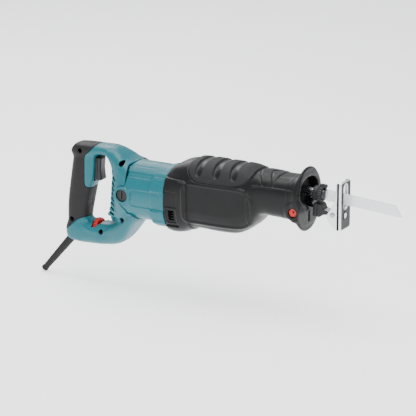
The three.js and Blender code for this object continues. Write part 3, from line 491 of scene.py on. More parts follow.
def boot_details(x, y, z, d):
    """The moulded relief of the boot's outer face."""
    side = np.abs(y)
    turn = boot_turn(x, y, z)
    arc = turn * ARC_PER_DEGREE
    pad = pad_distance(x, arc)
    d = d - 1.8 * fade(pad, 0.6) + 0.8 * ridge(pad - 1.4, 1.3)
    d = d + scallops(x, arc) * fade(pad + 3, 1.5)
    d = d - 1.2 * ridge(arc - 58, 5.0) * fade(np.abs(x - 97) - 52, 5)
    panel = rectangle(x, z, PANEL_X, PANEL_Z, np.where(x > 95, 22.0, 9.0))
    flat = side - (BOOT_WIDTH(x) - 1.3)
    d = d + fade(panel, 1.6) * np.clip(flat - d, 0, 1.3) - 1.9 * ridge(panel - 3.8, 4.4)
    collar = rectangle(x, z, COLLAR_X, COLLAR_Z, 9.0)
    d = d - 2.0 * fade(collar, 0.8) - 1.3 * ridge(collar + 0.8, 2.2) * fade(27 - x, 5) * fade(-22 - z, 4)
    d = d + 1.5 * np.exp(-(((x - 16) / 8) ** 2) - ((z - 46.5) / 5) ** 2) * fade(np.abs(turn - 47) - 14, 4)
    step = rectangle(x, z, STEP_X, STEP_Z, 1.5)
    ring = rectangle(x, z, FRAME_X, FRAME_Z, 3.5)
    d = d + 2.2 * fade(step, 0.4) - 1.7 * fade(ring, 0.4) + 1.7 * fade(ring + 2.6, 0.4)
    thumb = capsule(x, turn * 0.65, (160, -4), (176, 30), 8.5)
    d = d - 0.7 * fade(thumb, 0.8) + 0.8 * ridge(thumb, 1.3)
    d = d - 1.1 * fade(x - 189 + 0.05 * (turn - 45), 1.4) * fade(154 - x, 8) * fade(turn - 62, 2)
    cheek = rectangle(x, z, (145.0, 260.0), (-40.0, 46.0), 12.0)
    d = d - 1.3 * fade(cheek, 0.8) - 0.8 * ridge(cheek - 0.4, 1.5)
    return d - 1.0 * fade(213.5 - x, 0.6)


def boot_outer(x, y, z):
    side = np.abs(y)
    d = boot_form(x, y, z)
    near = np.abs(d) < 7
    d[near] = boot_details(x[near], y[near], z[near], d[near])
    lobe = drum(side, np.hypot(x - BUTTON["x"], z - BUTTON["z"]), 0, BUTTON["half"] + 0.8, 13.5, 2)
    d = join(d, lobe, 5)
    waist = FLANGE["half_width"] - 4.0 * np.exp(-(((z - 17) / 9) ** 2))
    rim = oval(y, z - FLANGE["z"], waist, FLANGE["half_height"], 2.2)
    flange = common(rim, np.abs(x - FLANGE["x"]) - FLANGE["half"], 3.2)
    d = join(np.maximum(d, x - FLANGE["x"]), flange, 11)
    d = common(d, x - FLANGE["x"] - FLANGE["half"], 2.4)
    return common(d, -x, 1.6)


def boot_field(x, y, z):
    side = np.abs(y)
    d = boot_outer(x, y, z)
    room = np.maximum(boot_form(x, y, z) + BOOT_SKIN, x - (FLANGE["x"] - FLANGE["half"] - 0.2))
    d = cut(d, room, 0.8)
    mouth = np.maximum(oval(y, z - MOUTH["z"], MOUTH["half_width"], MOUTH["half_height"], 2.2), 224 - x)
    d = cut(d, mouth, 2.4)
    nx, ny, nz = in_nose(x, y, z)
    port = block(nx, ny, nz, (-60, 30), (-10, 10), (-29.5, -15), 1.0)
    keyway = block(x, y, z, (226, 250), (-2.6, 2.6), (-9, 8), 1.0)
    d = cut(cut(d, port, 1.0), keyway, 1.0)
    d = cut(d, np.hypot(x - BUTTON["x"], z - BUTTON["z"]) - BUTTON["r"] - 0.35, 0.8)
    hole = np.maximum(rectangle(x, z, WINDOW_X, WINDOW_Z, 1.2), 30 - side)
    d = cut(d, hole, 0.6)
    for height in (-16.5, -20.8, -25.1):
        fin = block(x, side, z, (13.5, 20), (43.5, 46.6), (height - 0.95, height + 0.95), 0.5)
        d = join(d, fin, 0.5)
    return d


# Painted shade: 1 on the boot's walls more than 1.6 mm inside its outer face, which the rubber colours near-black.
def boot_inner_shade(x, y, z):
    return fade(boot_outer(x, y, z) + 1.6, 0.5)


def pad_zone(x, y, z):
    arc = boot_turn(x, y, z) * ARC_PER_DEGREE
    deep = scallops(x, arc)
    return fade(pad_distance(x, arc) + 0.8, 0.8) * (1 - np.clip(deep, 0, 1))


# ---------- motor housing ----------
def motor_turn(y, z):
    return np.degrees(np.arctan2(np.abs(y), z))


SEAM_LINE = line([
    (0, -70.5), (14, -72.5), (24, -75.3), (30, -76), (44, -73.5), (62, -72.5), (74, -76), (84, -86), (104, -87),
    (116, -79), (126, -74.5), (180, -74.5),
])


def brush_frame(x, y, z):
    """Distance from the brush line, and height along it on either side."""
    c, s = math.cos(BRUSH["turn"]), math.sin(BRUSH["turn"])
    along = y * c + z * s
    across = -y * s + z * c
    return np.hypot(x - BRUSH["x"], across), np.abs(along)


def motor_ownership(x, y, z):
    """Below zero where the motor housing shows, above it where the handle does."""
    radius, height = brush_frame(x, y, z)
    lobe = np.maximum(radius - BRUSH["lobe_r"] - 0.5, 30 - height)
    return np.minimum(SEAM_LINE(motor_turn(y, z)) - x, lobe)


def motor_room(x, y, z):
    """What the handle leaves free for the motor housing."""
    radius, height = brush_frame(x, y, z)
    lobe = np.maximum(radius - BRUSH["lobe_r"] - 0.5, 30 - height)
    turn = motor_turn(y, z)
    reach = MOTOR_R + 0.4 + 14 * fade(turn - 128, 6)
    barrel = np.maximum(SEAM_LINE(turn) - x, np.hypot(y, z) - reach)
    return np.minimum(barrel, lobe)


def motor_field(x, y, z):
    radius = np.hypot(y, z)
    turn = motor_turn(y, z)
    arc = turn * 0.83
    d = radius - MOTOR_R
    rear = -8 - 17.5 * fade(38 - turn, 6)
    collar = common(along_x(x, y, z, BOOT_TOP, BOOT_BOTTOM, BOOT_WIDTH, 2.4) + 0.5, rear - x, 3)
    d = join(d, collar, 4)
    for middle in (61.0, 122.0):
        boss = rectangle(x, arc, (-25.5, 6), (middle * 0.83 - 11, middle * 0.83 + 11), 5)
        d = d - 2.2 * fade(boss, 0.7) * fade(radius - 60, 1)
    for middle in (44.0, 136.0):
        boss = rectangle(x, arc, (-24, 6), (middle * 0.83 - 6, middle * 0.83 + 6), 5)
        d = d - 1.6 * fade(boss, 1.2)
    panel = rectangle(x, arc, (-63, -8), (76 * 0.83, 111 * 0.83), 4.5)
    d = d + 1.2 * fade(panel, 0.5)
    facet = rectangle(x, arc, (-90, -28), (41 * 0.83, 52 * 0.83), 1)
    d = d + 1.0 * fade(facet, 0.9) + 0.5 * ridge(arc - 24 * 0.83, 2.5) * fade(x + 28, 3)
    brush_r, brush_h = brush_frame(x, y, z)
    lobe = drum(brush_h, brush_r, 20, 47.8, BRUSH["lobe_r"], 2.2)
    d = join(d + 0.8 * ridge(brush_r - BRUSH["lobe_r"] - 1.2, 1.6) * fade(36 - brush_h, 2), lobe, 1.2)
    d = d + 0.6 * ridge(brush_r - 12.4, 0.9) * fade(42 - brush_h, 1)
    bore = radius - 43.7
    d = cut(d, bore, 0.5)
    d = cut(d, np.maximum(brush_r - BRUSH["cap_r"] - 0.3, 30 - brush_h), 0.8)
    seam = SEAM_LINE(turn) - x
    d = common(d, motor_ownership(x, y, z) + SEAM, 0.9)
    lip = np.maximum(np.abs(radius - 43.05) - 0.65, np.maximum(seam - 4, -3 - seam))
    return common(np.minimum(d, lip), x + 0.35, 0.8)


# ---------- handle ----------
GRIP_ZONE = Outline([
    (-240, -88), (-206, -88), (-174, -59.5), (-138, -59.5), (-138, -8), (-164, -8), (-164, 47), (-149, 58),
    (-132, 90), (-240, 90),
], 8)
GRIP_SKIN = 2.0
HANDLE_WALL = 5.0
GUARD_AT = (-201.0, -102.0)
GUARD_SLOPE = math.radians(49.4)


def guard_frame(x, y, z):
    """Distance along the cord guard's line, and from it."""
    c, s = -math.cos(GUARD_SLOPE), -math.sin(GUARD_SLOPE)
    dx, dz = x - GUARD_AT[0], z - GUARD_AT[1]
    along = dx * c + dz * s
    return along, np.hypot(y, dx * s - dz * c)


def handle_outer(x, y, z):
    d = handle_form(x, y, z)
    near = np.abs(d) < 6
    xs, ys, zs = x[near], y[near], z[near]
    loop = LOOP(xs, zs)
    band = fade(loop - 5.5, 0.8) * fade(-40 - zs, 4)
    crown = 0.6 * ridge(loop - 16, 4) * fade(xs + 110, 4) * fade(zs + 62, 4)
    d[near] = d[near] + 1.1 * band - crown
    return d


LOOP_FRONT = line([(-63, -128), (-54, -123), (-34, -117.5), (-3, -113), (19, -111), (30, -112.5)])


def handle_openings(x, y, z, d):
    """Cuts what passes through the handle: trigger, dial, vents, screw recesses and the cord guard."""
    side = np.abs(y)
    d = cut(d, block(x, y, z, (-168, -120), (-9.6, 9.6), (3.3, 44.7), 1.5), 1.2)
    d = cut(d, block(x, y, z, (DIAL["x"] - 4.4, DIAL["x"] + 4.4), (-18.3, 18.3), (-94, -40), 1.0), 1.5)
    scoop = np.sqrt(((x - DIAL["x"]) / 10.0) ** 2 + ((side - 9) / 15.0) ** 2 + ((z + 62) / 8.0) ** 2)
    d = cut(d, (scoop - 1) * 8.0, 2.0)
    for i in range(9):
        height = 24 - 8.6 * i
        edge = LOOP_FRONT(height)
        slot = capsule(x, z, (edge - 4, height + 4.0), (edge + 14, height - 6.0), 1.6)
        d = cut(d, np.maximum(slot, 7 - side), 0.5)
    for sx, sz in SCREWS:
        d = cut(d, np.maximum(np.hypot(x - sx, z - sz) - 4.2, y + 7), 0.9)
    along, radius = guard_frame(x, y, z)
    return cut(d, np.maximum(radius - 7.3, -24 - along), 0.8)


def teal_handle(x, y, z):
    outer = handle_outer(x, y, z)
    zone = GRIP_ZONE(x, z)
    skin = common(outer, SEAM - zone, 0.9)
    wall = np.minimum(skin, outer + GRIP_SKIN + 0.4)
    barrel = np.maximum(np.hypot(y, z) - 44 + 60 * (x < -90), outer + 1.8)
    room = np.minimum(outer + HANDLE_WALL, barrel)
    d = cut(wall, room, 0.8)
    d = handle_openings(x, y, z, d)
    return common(d, SEAM - motor_room(x, y, z), 0.9)


def rubber_grip(x, y, z):
    outer = handle_outer(x, y, z)
    layer = np.maximum(outer, -(outer + GRIP_SKIN))
    d = common(layer, GRIP_ZONE(x, z) + SEAM, 0.7)
    for sx, sz in SCREWS:
        d = cut(d, np.maximum(np.hypot(x - sx, z - sz) - 4.2, y + 7), 0.7)
    along, radius = guard_frame(x, y, z)
    return cut(d, np.maximum(radius - 7.3, -24 - along), 0.7)


def one_side(field, sign):
    return lambda x, y, z: common(field(x, y, z), SEAM - sign * y, 0.5)


# Painted shade: 1 on the handle shell's walls more than 1.8 mm inside its outer face, which the teal colours
# near-black.
def handle_inner_shade(x, y, z):
    return fade(handle_outer(x, y, z) + 1.8, 0.5)


# Painted shade: 1 in the housing's bore and down the brush caps' holes, which the teal colours near-black.
def motor_inner_shade(x, y, z):
    radius, height = brush_frame(x, y, z)
    return np.maximum(fade(np.hypot(y, z) - 45.5, 0.4), fade(radius - 10.6, 0.3) * fade(height - 46.6, 0.4))


def dimple_zone(x, y, z):
    return fade(z + 12, 3) * fade(-90 - z, 3)


def make_handle():
    for name, sign in (("right", -1), ("left", 1)):
        y_range = (-50, 0) if sign < 0 else (0, 50)
        shell = sculpted(
            f"handle_shell_{name}_skin", one_side(teal_handle, sign),
            (-209, y_range[0], -106), (-60, y_range[1], 68), zones={"inner_shade": handle_inner_shade},
        )
        dress(shell, "root", TEAL, "teal_plastic", f"handle_shell_{name}")
        cover = sculpted(
            f"grip_cover_{name}_skin", one_side(rubber_grip, sign),
            (-209, max(y_range[0], -22), -106), (-136, min(y_range[1], 22), 68),
            zones={"dimples": dimple_zone},
        )
        dress(cover, "root", GRIP_RUBBER, "black_rubber", f"grip_cover_{name}")


# ---------- materials ----------
def value_node(tree, operation, a, b):
    node = tree.nodes.new("ShaderNodeMath")
    node.operation = operation
    for socket, given in zip(node.inputs, (a, b)):
        if isinstance(given, (int, float)):
            socket.default_value = given
        else:
            tree.links.new(given, socket)
    return node.outputs[0]


def noise(tree, scale, detail=4.0, stretch=None):
    coordinates = tree.nodes.new("ShaderNodeTexCoord").outputs["Object"]
    if stretch:
        mapping = tree.nodes.new("ShaderNodeMapping")
        mapping.inputs["Scale"].default_value = stretch
        tree.links.new(coordinates, mapping.inputs["Vector"])
        coordinates = mapping.outputs["Vector"]
    node = tree.nodes.new("ShaderNodeTexNoise")
    node.inputs["Scale"].default_value = scale
    node.inputs["Detail"].default_value = detail
    tree.links.new(coordinates, node.inputs["Vector"])
    return node.outputs["Fac"]


def spread(tree, source, low, high):
    """Turns a 0 to 1 pattern into a range of values."""
    node = tree.nodes.new("ShaderNodeMapRange")
    node.inputs["From Min"].default_value = 0.3
    node.inputs["From Max"].default_value = 0.7
    node.inputs["To Min"].default_value = low
    node.inputs["To Max"].default_value = high
    tree.links.new(source, node.inputs["Value"])
    return node.outputs["Result"]


def blend_colours(tree, source, first, second):
    node = tree.nodes.new("ShaderNodeMix")
    node.data_type = "RGBA"
    node.inputs["A"].default_value = (*first, 1)
    node.inputs["B"].default_value = (*second, 1)
    tree.links.new(source, node.inputs["Factor"])
    return node.outputs["Result"]


def attribute(tree, name):
    node = tree.nodes.new("ShaderNodeAttribute")
    node.attribute_name = name
    return node.outputs["Fac"]


def bump(tree, shader, height, strength, distance):
    node = tree.nodes.new("ShaderNodeBump")
    node.inputs["Strength"].default_value = strength
    node.inputs["Distance"].default_value = distance * MM
    tree.links.new(height, node.inputs["Height"])
    tree.links.new(node.outputs["Normal"], shader.inputs["Normal"])


def dots(tree, spacing, size):
    """A field of small round pits, this many millimetres apart."""
    coordinates = tree.nodes.new("ShaderNodeTexCoord").outputs["Object"]
    node = tree.nodes.new("ShaderNodeTexVoronoi")
    node.inputs["Scale"].default_value = 1 / (spacing * MM)
    node.inputs["Randomness"].default_value = 0.35
    tree.links.new(coordinates, node.inputs["Vector"])
    return spread_from(tree, node.outputs["Distance"], size, size + 0.06)


def spread_from(tree, source, low, high):
    node = tree.nodes.new("ShaderNodeMapRange")
    node.interpolation_type = "SMOOTHSTEP"
    node.inputs["From Min"].default_value = low
    node.inputs["From Max"].default_value = high
    tree.links.new(source, node.inputs["Value"])
    return node.outputs["Result"]


def material(name, first, second, roughness, metallic=0.0, texture=700, grain=0.25, depth=0.05, ior=1.5):
    """A moulded or machined finish: mottled colour, uneven gloss and a fine surface grain."""
    made = bpy.data.materials.new(name)
    made.use_nodes = True
    tree = made.node_tree
    shader = tree.nodes["Principled BSDF"]
    shader.inputs["Metallic"].default_value = metallic
    shader.inputs["IOR"].default_value = ior
    tree.links.new(blend_colours(tree, noise(tree, 28, 5), first, second), shader.inputs["Base Color"])
    tree.links.new(spread(tree, noise(tree, 60, 6), *roughness), shader.inputs["Roughness"])
    bump(tree, shader, noise(tree, texture, 3), grain, depth)
    return made


def shaded(made, zone="inner_shade", colour=(0.004, 0.004, 0.004)):
    """Mixes a colour into the part of a material that the zone marks. By default it paints near-black shade on the
    inside of a shell; it also gives the boot's pad its lighter rubber and paints highlights on the shoe's edges.
    """
    tree = made.node_tree
    shader = tree.nodes["Principled BSDF"]
    before = shader.inputs["Base Color"].links[0].from_socket
    node = tree.nodes.new("ShaderNodeMix")
    node.data_type = "RGBA"
    tree.links.new(before, node.inputs["A"])
    node.inputs["B"].default_value = (*colour, 1)
    tree.links.new(attribute(tree, zone), node.inputs["Factor"])
    tree.links.new(node.outputs["Result"], shader.inputs["Base Color"])
    return made


def rougher(made, zone, roughness):
    """Gives the part of a material that the zone marks its own roughness."""
    tree = made.node_tree
    shader = tree.nodes["Principled BSDF"]
    before = shader.inputs["Roughness"].links[0].from_socket
    node = tree.nodes.new("ShaderNodeMix")
    tree.links.new(before, node.inputs["A"])
    node.inputs["B"].default_value = roughness
    tree.links.new(attribute(tree, zone), node.inputs["Factor"])
    tree.links.new(node.outputs["Result"], shader.inputs["Roughness"])
    return made


def dotted_rubber(name, zone, spacing, size, depth, first, second, roughness):
    """Rubber with pits in the part of it that the zone marks."""
    made = material(name, first, second, roughness, texture=900, grain=0.35, depth=0.06, ior=1.28)
    tree = made.node_tree
    shader = tree.nodes["Principled BSDF"]
    pits = dots(tree, spacing, size)
    lifted = value_node(tree, "SUBTRACT", 1.0, pits)
    marked = value_node(tree, "MULTIPLY", lifted, attribute(tree, zone))
    grain = value_node(tree, "MULTIPLY", noise(tree, 900, 3), 0.25)
    height = value_node(tree, "SUBTRACT", grain, marked)
    bump(tree, shader, height, 0.8, depth)
    return made


# The teal's shade zone is coloured near-black: painted shade inside the shells and their openings.
TEAL = shaded(material(
    "teal_plastic_skin", (0.003, 0.110, 0.138), (0.004, 0.128, 0.158), (0.32, 0.44), ior=1.42
))
RUBBER = dotted_rubber(
    "boot_rubber_skin", "pad", 1.7, 0.30, 0.3, (0.0060, 0.0060, 0.0064), (0.0085, 0.0085, 0.0090), (0.30, 0.42)
)
# The pad zone gets a lighter, rougher rubber; the shade zone is coloured near-black as painted shade inside the
# boot's mouth, window and shell.
RUBBER = rougher(shaded(shaded(RUBBER, "pad", (0.019, 0.019, 0.020))), "pad", 0.6)
# Painted shade: the shade zone would be coloured near-black, but the grip covers and cord guard mark no such zone.
GRIP_RUBBER = shaded(dotted_rubber(
    "grip_rubber_skin", "dimples", 7.5, 0.07, 0.2, (0.013, 0.012, 0.013), (0.017, 0.016, 0.017), (0.46, 0.6)
))
DARK_STEEL = material("dark_steel_skin", (0.04, 0.04, 0.044), (0.06, 0.06, 0.066), (0.22, 0.34), 1.0, 400, 0.06, 0.02)
BLACK = material("black_plastic_skin", (0.007, 0.007, 0.0075), (0.011, 0.011, 0.012), (0.34, 0.46), ior=1.42)
# Painted shade: the red's shade zone is coloured near-black, on the middle of the shoe lock button inside the nose.
RED = shaded(material(
    "red_plastic_skin", (0.42, 0.006, 0.004), (0.5, 0.010, 0.006), (0.28, 0.4), grain=0.15, ior=1.42
))
CHROME = material(
    "polished_steel_skin", (0.62, 0.63, 0.65), (0.72, 0.73, 0.75), (0.12, 0.24), 1.0, 400, 0.06, 0.02
)
STEEL = material("machined_steel_skin", (0.34, 0.35, 0.37), (0.45, 0.46, 0.48), (0.28, 0.42), 1.0, 500, 0.15, 0.03)
BLADE = material("blade_steel_skin", (0.78, 0.80, 0.82), (0.84, 0.86, 0.87), (0.34, 0.46), 0.55, 600, 0.1, 0.02)
# Painted shade: the cast housing is coloured near-black so that it reads as shade inside the boot's mouth.
CAST_SHADE = material("cast_housing_shade_skin", (0.006, 0.006, 0.0065), (0.010, 0.010, 0.011), (0.5, 0.7), 0.0, 260, 0.5, 0.15)
COPPER = material("copper_skin", (0.50, 0.20, 0.09), (0.62, 0.27, 0.12), (0.3, 0.45), 1.0)
BRONZE = material("bronze_skin", (0.50, 0.34, 0.14), (0.60, 0.43, 0.19), (0.32, 0.5), 1.0, 300, 0.3, 0.08)
CARBON = material("carbon_skin", (0.012, 0.012, 0.013), (0.024, 0.024, 0.026), (0.6, 0.85), texture=400, grain=0.5)
LAMINATION = material(
    "lamination_skin", (0.16, 0.165, 0.18), (0.24, 0.245, 0.26), (0.4, 0.6), 0.9, 500, 0.3, 0.05
)
RESIN = material("resin_skin", (0.03, 0.085, 0.05), (0.045, 0.11, 0.065), (0.25, 0.45))
# Painted highlights: dark steel whose edges zone is coloured nearly white along the shoe's rim, slots and the fold of
# its walls.
SHOE_STEEL = shaded(material(
    "shoe_steel_skin", (0.010, 0.010, 0.011), (0.017, 0.017, 0.018), (0.24, 0.36), 1.0, 400, 0.1, 0.02
), "edges", (0.78, 0.79, 0.81))
SLOT_LOOKS = {
    "teal_plastic": TEAL, "black_rubber": RUBBER, "black_plastic": BLACK, "red_plastic": RED,
    "cast_aluminium": CAST_SHADE, "lamination_steel": LAMINATION, "copper": COPPER, "carbon": CARBON,
    "bronze": BRONZE, "machined_steel": STEEL, "bright_steel": CHROME, "blade_steel": BLADE,
    "resin_board": RESIN,
}


def dress(piece, body, look, slot, *nodes):
    """Gives a piece its material and body, and lets it stand for CAD nodes; the slot argument is not used."""
    piece.data.materials.clear()
    piece.data.materials.append(look)
    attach(piece, body)
    if nodes:
        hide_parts(*nodes)
    return piece


def paint_cad_nodes():
    slots = {s["node"]: s["material_slot"] for s in frame["record"]["subparts"]}
    for name, node in frame["nodes"].items():
        node.data.materials.clear()
        node.data.materials.append(SLOT_LOOKS[slots[name]])


# ---------- the other visible pieces ----------
def make_boot():
    boot = sculpted(
        "front_boot_skin", boot_field, (0, -52, -60), (236, 52, 80), zones={"pad": pad_zone, "inner_shade": boot_inner_shade}
    )
    dress(boot, "root", RUBBER, "black_rubber", "front_boot")


def make_motor():
    housing = sculpted(
        "motor_housing_skin", motor_field, (-96, -51, -60), (0, 51, 53), zones={"inner_shade": motor_inner_shade}
    )
    dress(housing, "root", TEAL, "teal_plastic", "motor_housing")


TRIGGER = Outline([
    (-158, 4), (-141, 4), (-137.5, 6), (-139, 16), (-139.8, 24), (-139.2, 34), (-138.2, 42), (-141, 44),
    (-158, 44),
], 2.5)


def trigger_field(x, y, z):
    side = np.abs(y)
    d = common(TRIGGER(x, z), side - 9, 3.0)
    d = d + 1.2 * ridge(x + 146.5, 1.6) * fade(4 - side, 1)
    stem = block(x, y, z, (-167.5, -156), (-6, 6), (14, 34), 0.8)
    return join(d, stem, 1.0)


def cap_field(sign):
    c, s = math.cos(BRUSH["turn"]), math.sin(BRUSH["turn"])

    def field(x, y, z):
        along = (y * c + z * s) * sign
        across = -y * s + z * c
        radius = np.hypot(x - BRUSH["x"], across)
        d = drum(along, radius, 38.5, 45.7, BRUSH["cap_r"], 1.0)
        d = d + 0.5 * ridge(radius - 7.6, 0.8) * fade(40 - along, 1)
        slot = np.maximum(np.abs(x - BRUSH["x"]) - 1.0, np.abs(across) - 5.6)
        return cut(d, np.maximum(slot, 43.4 - along), 0.5)

    return field


def dial_field(x, y, z):
    dx, dz = x - DIAL["x"], z - DIAL["z"]
    radius = np.hypot(y, dz)
    teeth = 0.45 * (1 - np.cos(np.arctan2(y, dz) * 30))
    rim = radius - DIAL["r"] + teeth * fade(14 - radius, 1)
    return common(rim, np.abs(dx) - DIAL["half"], 1.4)


def lock_field(x, y, z):
    side = np.abs(y)
    radius = np.hypot(x - BUTTON["x"], z - BUTTON["z"])
    d = drum(side, radius, -BUTTON["half"], BUTTON["half"], BUTTON["r"], 1.6)
    nx, ny, nz = in_nose(x, y, z)
    notch = block(nx, ny, nz, (-60, 20), (-11, 11), (-27.8, 10), 0.4)
    pit = np.maximum(np.hypot(x - BUTTON["x"] - 1.2, z - BUTTON["z"] - 1.6) - 1.7, 34 - side)
    return cut(cut(d, notch, 0.5), pit, 0.4)


def plate_field(x, y, z):
    """The folded shoe plate: a face with two slots, shallow side walls and two ears."""
    side = np.abs(y)
    face = common(rectangle(y, z, (-17, 17), (-13, 65), 5.5), np.abs(x - 297.25) - 1.25, 0.8)
    upper = rectangle(y, z, *UPPER_SLOT, 6.4)
    hole = np.hypot(y, z - PLATE_HOLE)
    face = face - 0.7 * ridge(hole - 6.4, 1.3)
    face = cut(face, np.minimum(upper, hole - 3.5), 0.7)
    wall = common(rectangle(x, z, (289.8, 298.2), (-12, 63.5), 3), np.abs(side - 15.65) - 1.35, 0.8)
    ear = common(EAR(x, z), np.abs(side - 15.65) - 1.35, 0.8)
    d = join(face, np.minimum(wall, ear), 1.2)
    pivot = np.hypot(x - PIVOT[0], z - PIVOT[1])
    return cut(d, pivot - 2.8, 0.5)


PIVOT = (284.17, 12.16)
EAR = Outline([
    (298, -12), (298, 60), (291.5, 60), (290, 47), (287, 31.5), (279.6, 19.2), (274.5, 12.5), (274.5, 6),
    (277, 0), (284, -8), (289, -12),
], 4)
UPPER_SLOT, PLATE_HOLE = ((-6.5, 6.5), (20, 60)), 9.0


def plate_edge_highlights(x, y, z):
    """Painted highlights: where the shoe's steel is coloured bright along its rim, its slots and the fold of its side
    walls.
    """
    face = fade(296.6 - x, 0.4)
    rim = np.abs(rectangle(y, z, (-17, 17), (-13, 65), 5.5)) - 1.5
    slots = np.minimum(rectangle(y, z, *UPPER_SLOT, 6.4), np.hypot(y, z - PLATE_HOLE) - 3.4) - 1.0
    wall = np.maximum(291.6 - x, x - 295.4)
    return face * fade(np.minimum(rim, slots), 0.5) + (1 - face) * (1 - fade(wall, 0.4))


def sleeve_field(x, y, z):
    nx, ny, nz = in_nose(x, y, z)
    radius = np.hypot(ny, nz)
    d = drum(nx, radius, -7, 0.8, 12.6, 1.0)
    d = join(d, drum(nx, radius, -15, -6, 11.7, 1.2), 0.8)
    lever = block(nx, ny, nz, (-5.5, 5.5), (-3.5, 3.5), (11, 16.5), 1.4)
    ribs = 0.4 * (1 + np.cos(np.arctan2(ny, nz) * 24)) * fade(11.5 - radius, 0.5)
    return cut(join(d + ribs, lever, 2.0), radius - 9.9, 0.4)


COVER = Outline([
    (-12, -36), (-12, -14.5), (0, -14), (3, -17), (4.5, -21.5), (14.5, -24.5), (14.5, -28.5), (5, -31), (0, -36),
], 2.0)


def cover_field(x, y, z):
    """The block around the shoe bracket's bar, drawn out to a nose between the shoe's ears."""
    nx, ny, nz = in_nose(x, y, z)
    d = common(COVER(nx, nz), np.abs(ny) - 9, 1.4)
    passage = rectangle(ny, nz, (-6.8, 6.8), (-27.3, -21.7), 0.5)
    groove = np.maximum(np.abs(nx + 5) - 0.8, 7.8 - np.abs(ny))
    return cut(cut(d, passage, 0.5), groove, 0.4)


def make_small_pieces():
    fine = 0.45
    trigger = sculpted("trigger_skin", trigger_field, (-168, -13, 4), (-130, 13, 44), 0.8)
    dress(trigger, "trigger", BLACK, "black_plastic", "trigger")
    reach = 50
    for name, sign in (("right", -1), ("left", 1)):
        y_range = sorted((36 * sign, reach * sign))
        cap = sculpted(f"brush_cap_{name}_skin", cap_field(sign), (-90, y_range[0], -18), (-69, y_range[1], 18), fine)
        dress(cap, "root", BLACK, "black_plastic", f"brush_cap_{name}")
    dial = sculpted("speed_dial_skin", dial_field, (-152, -18, -93), (-144, 18, -56), fine)
    dress(dial, "speed_dial", RED, "red_plastic", "speed_dial")
    # Painted shade: the button's middle, inside the nose, is marked for near-black.
    lock = sculpted(
        "shoe_lock_button_skin", lock_field, (217, -38, 5), (234, 38, 21), fine,
        zones={"inner_shade": lambda x, y, z: fade(np.abs(y) - 33, 0.5)},
    )
    dress(lock, "shoe_lock", RED, "red_plastic", "shoe_lock_button")
    plate = sculpted(
        "shoe_plate_skin", plate_field, (274, -17.2, -13.2), (299, 17.2, 65.2), fine, zones={"edges": plate_edge_highlights}
    )
    dress(plate, "shoe", SHOE_STEEL, "bright_steel", "shoe_plate")
    sleeve = sculpted("blade_clamp_sleeve_skin", sleeve_field, (241, -13, 22), (268, 13, 57), fine)
    dress(sleeve, "clamp_sleeve", BLACK, "black_plastic", "blade_clamp_sleeve")
    cover = sculpted("shoe_bracket_cover_skin", cover_field, (244, -9.2, 0), (277, 9.2, 26), fine)
    dress(cover, "shoe_bracket", BLACK, "black_plastic", "shoe_bracket_cover")


def guard_place(points):
    c, s = -math.cos(GUARD_SLOPE), -math.sin(GUARD_SLOPE)
    along, y, across = points.T
    return np.stack([GUARD_AT[0] + along * c - across * s, y, GUARD_AT[1] + along * s + across * c], 1)


def make_cord_guard():
    outline = [(-15, 4.2), (-15, 9.4), (-14.4, 10), (-12.6, 10), (-12, 9.4), (-12, 7.2), (-11, 7.0), (2, 6.8)]
    for i in range(1, 30):
        along = 2 + 74 * i / 30
        outline.append((along, 6.8 - 1.75 * (i / 30) ** 1.15))
    outline += [(76.5, 5.1), (78, 5.5), (79.5, 5.85), (82.2, 5.85), (83, 5.3), (83, 4.6), (82.4, 4.2), (-15, 4.2)]
    guard = lathe("cord_guard_skin", outline, guard_place)
    dress(guard, "root", GRIP_RUBBER, "black_rubber", "cord_guard")


def make_clamp():
    outline = [(-15.7, 6.3), (-15.7, 8.3), (-15.2, 9.1), (-14.4, 9.5), (-9, 9.5), (-8.4, 9.1), (-7.6, 9.1), (-7, 9.5),
               (0.2, 9.5), (3, 9.5), (3.7, 9.1), (4, 8.5), (4, 1.2), (-4.4, 1.2), (-4.4, 6.3), (-15.7, 6.3)]
    clamp = lathe("blade_clamp_body_skin", outline, nose_place, 96)
    dress(clamp, "slider", DARK_STEEL, "bright_steel", "blade_clamp_body")


def make_blade():
    half = 9.25
    pitch = 2.5
    outline = [(-3.6, -5.8), (4.6, -5.8), (8, -half)]
    teeth = int(110 / pitch)
    for i in range(teeth):
        x = 16 + i * pitch
        outline += [(x, -half), (x + 0.35 * pitch, -half + 1.1), (x + 0.7 * pitch, -half + 0.9)]
    outline += [(16 + teeth * pitch, -half), (136, -half + 2), (124, half), (8, half), (4.6, 5.8), (-3.6, 5.8)]
    blade = stacked("saw_blade_skin", outline, (-0.6, 0.6), nose_place)
    dress(blade, "slider", BLADE, "blade_steel", "saw_blade")


def make_pin():
    outline = [(-19, 0.05), (-19, 3.2), (-18.6, 3.8), (-18.1, 4), (-17.5, 4), (-17.4, 2.5), (17.4, 2.5), (17.5, 4),
               (18.1, 4), (18.6, 3.8), (19, 3.2), (19, 0.05)]

    def place(points):
        along, a, b = points.T
        return np.stack([PIVOT[0] + a, along, PIVOT[1] + b], 1)

    pin = lathe("shoe_pivot_pin_skin", outline, place, 48)
    dress(pin, "shoe_bracket", STEEL, "machined_steel", "shoe_pivot_pin")


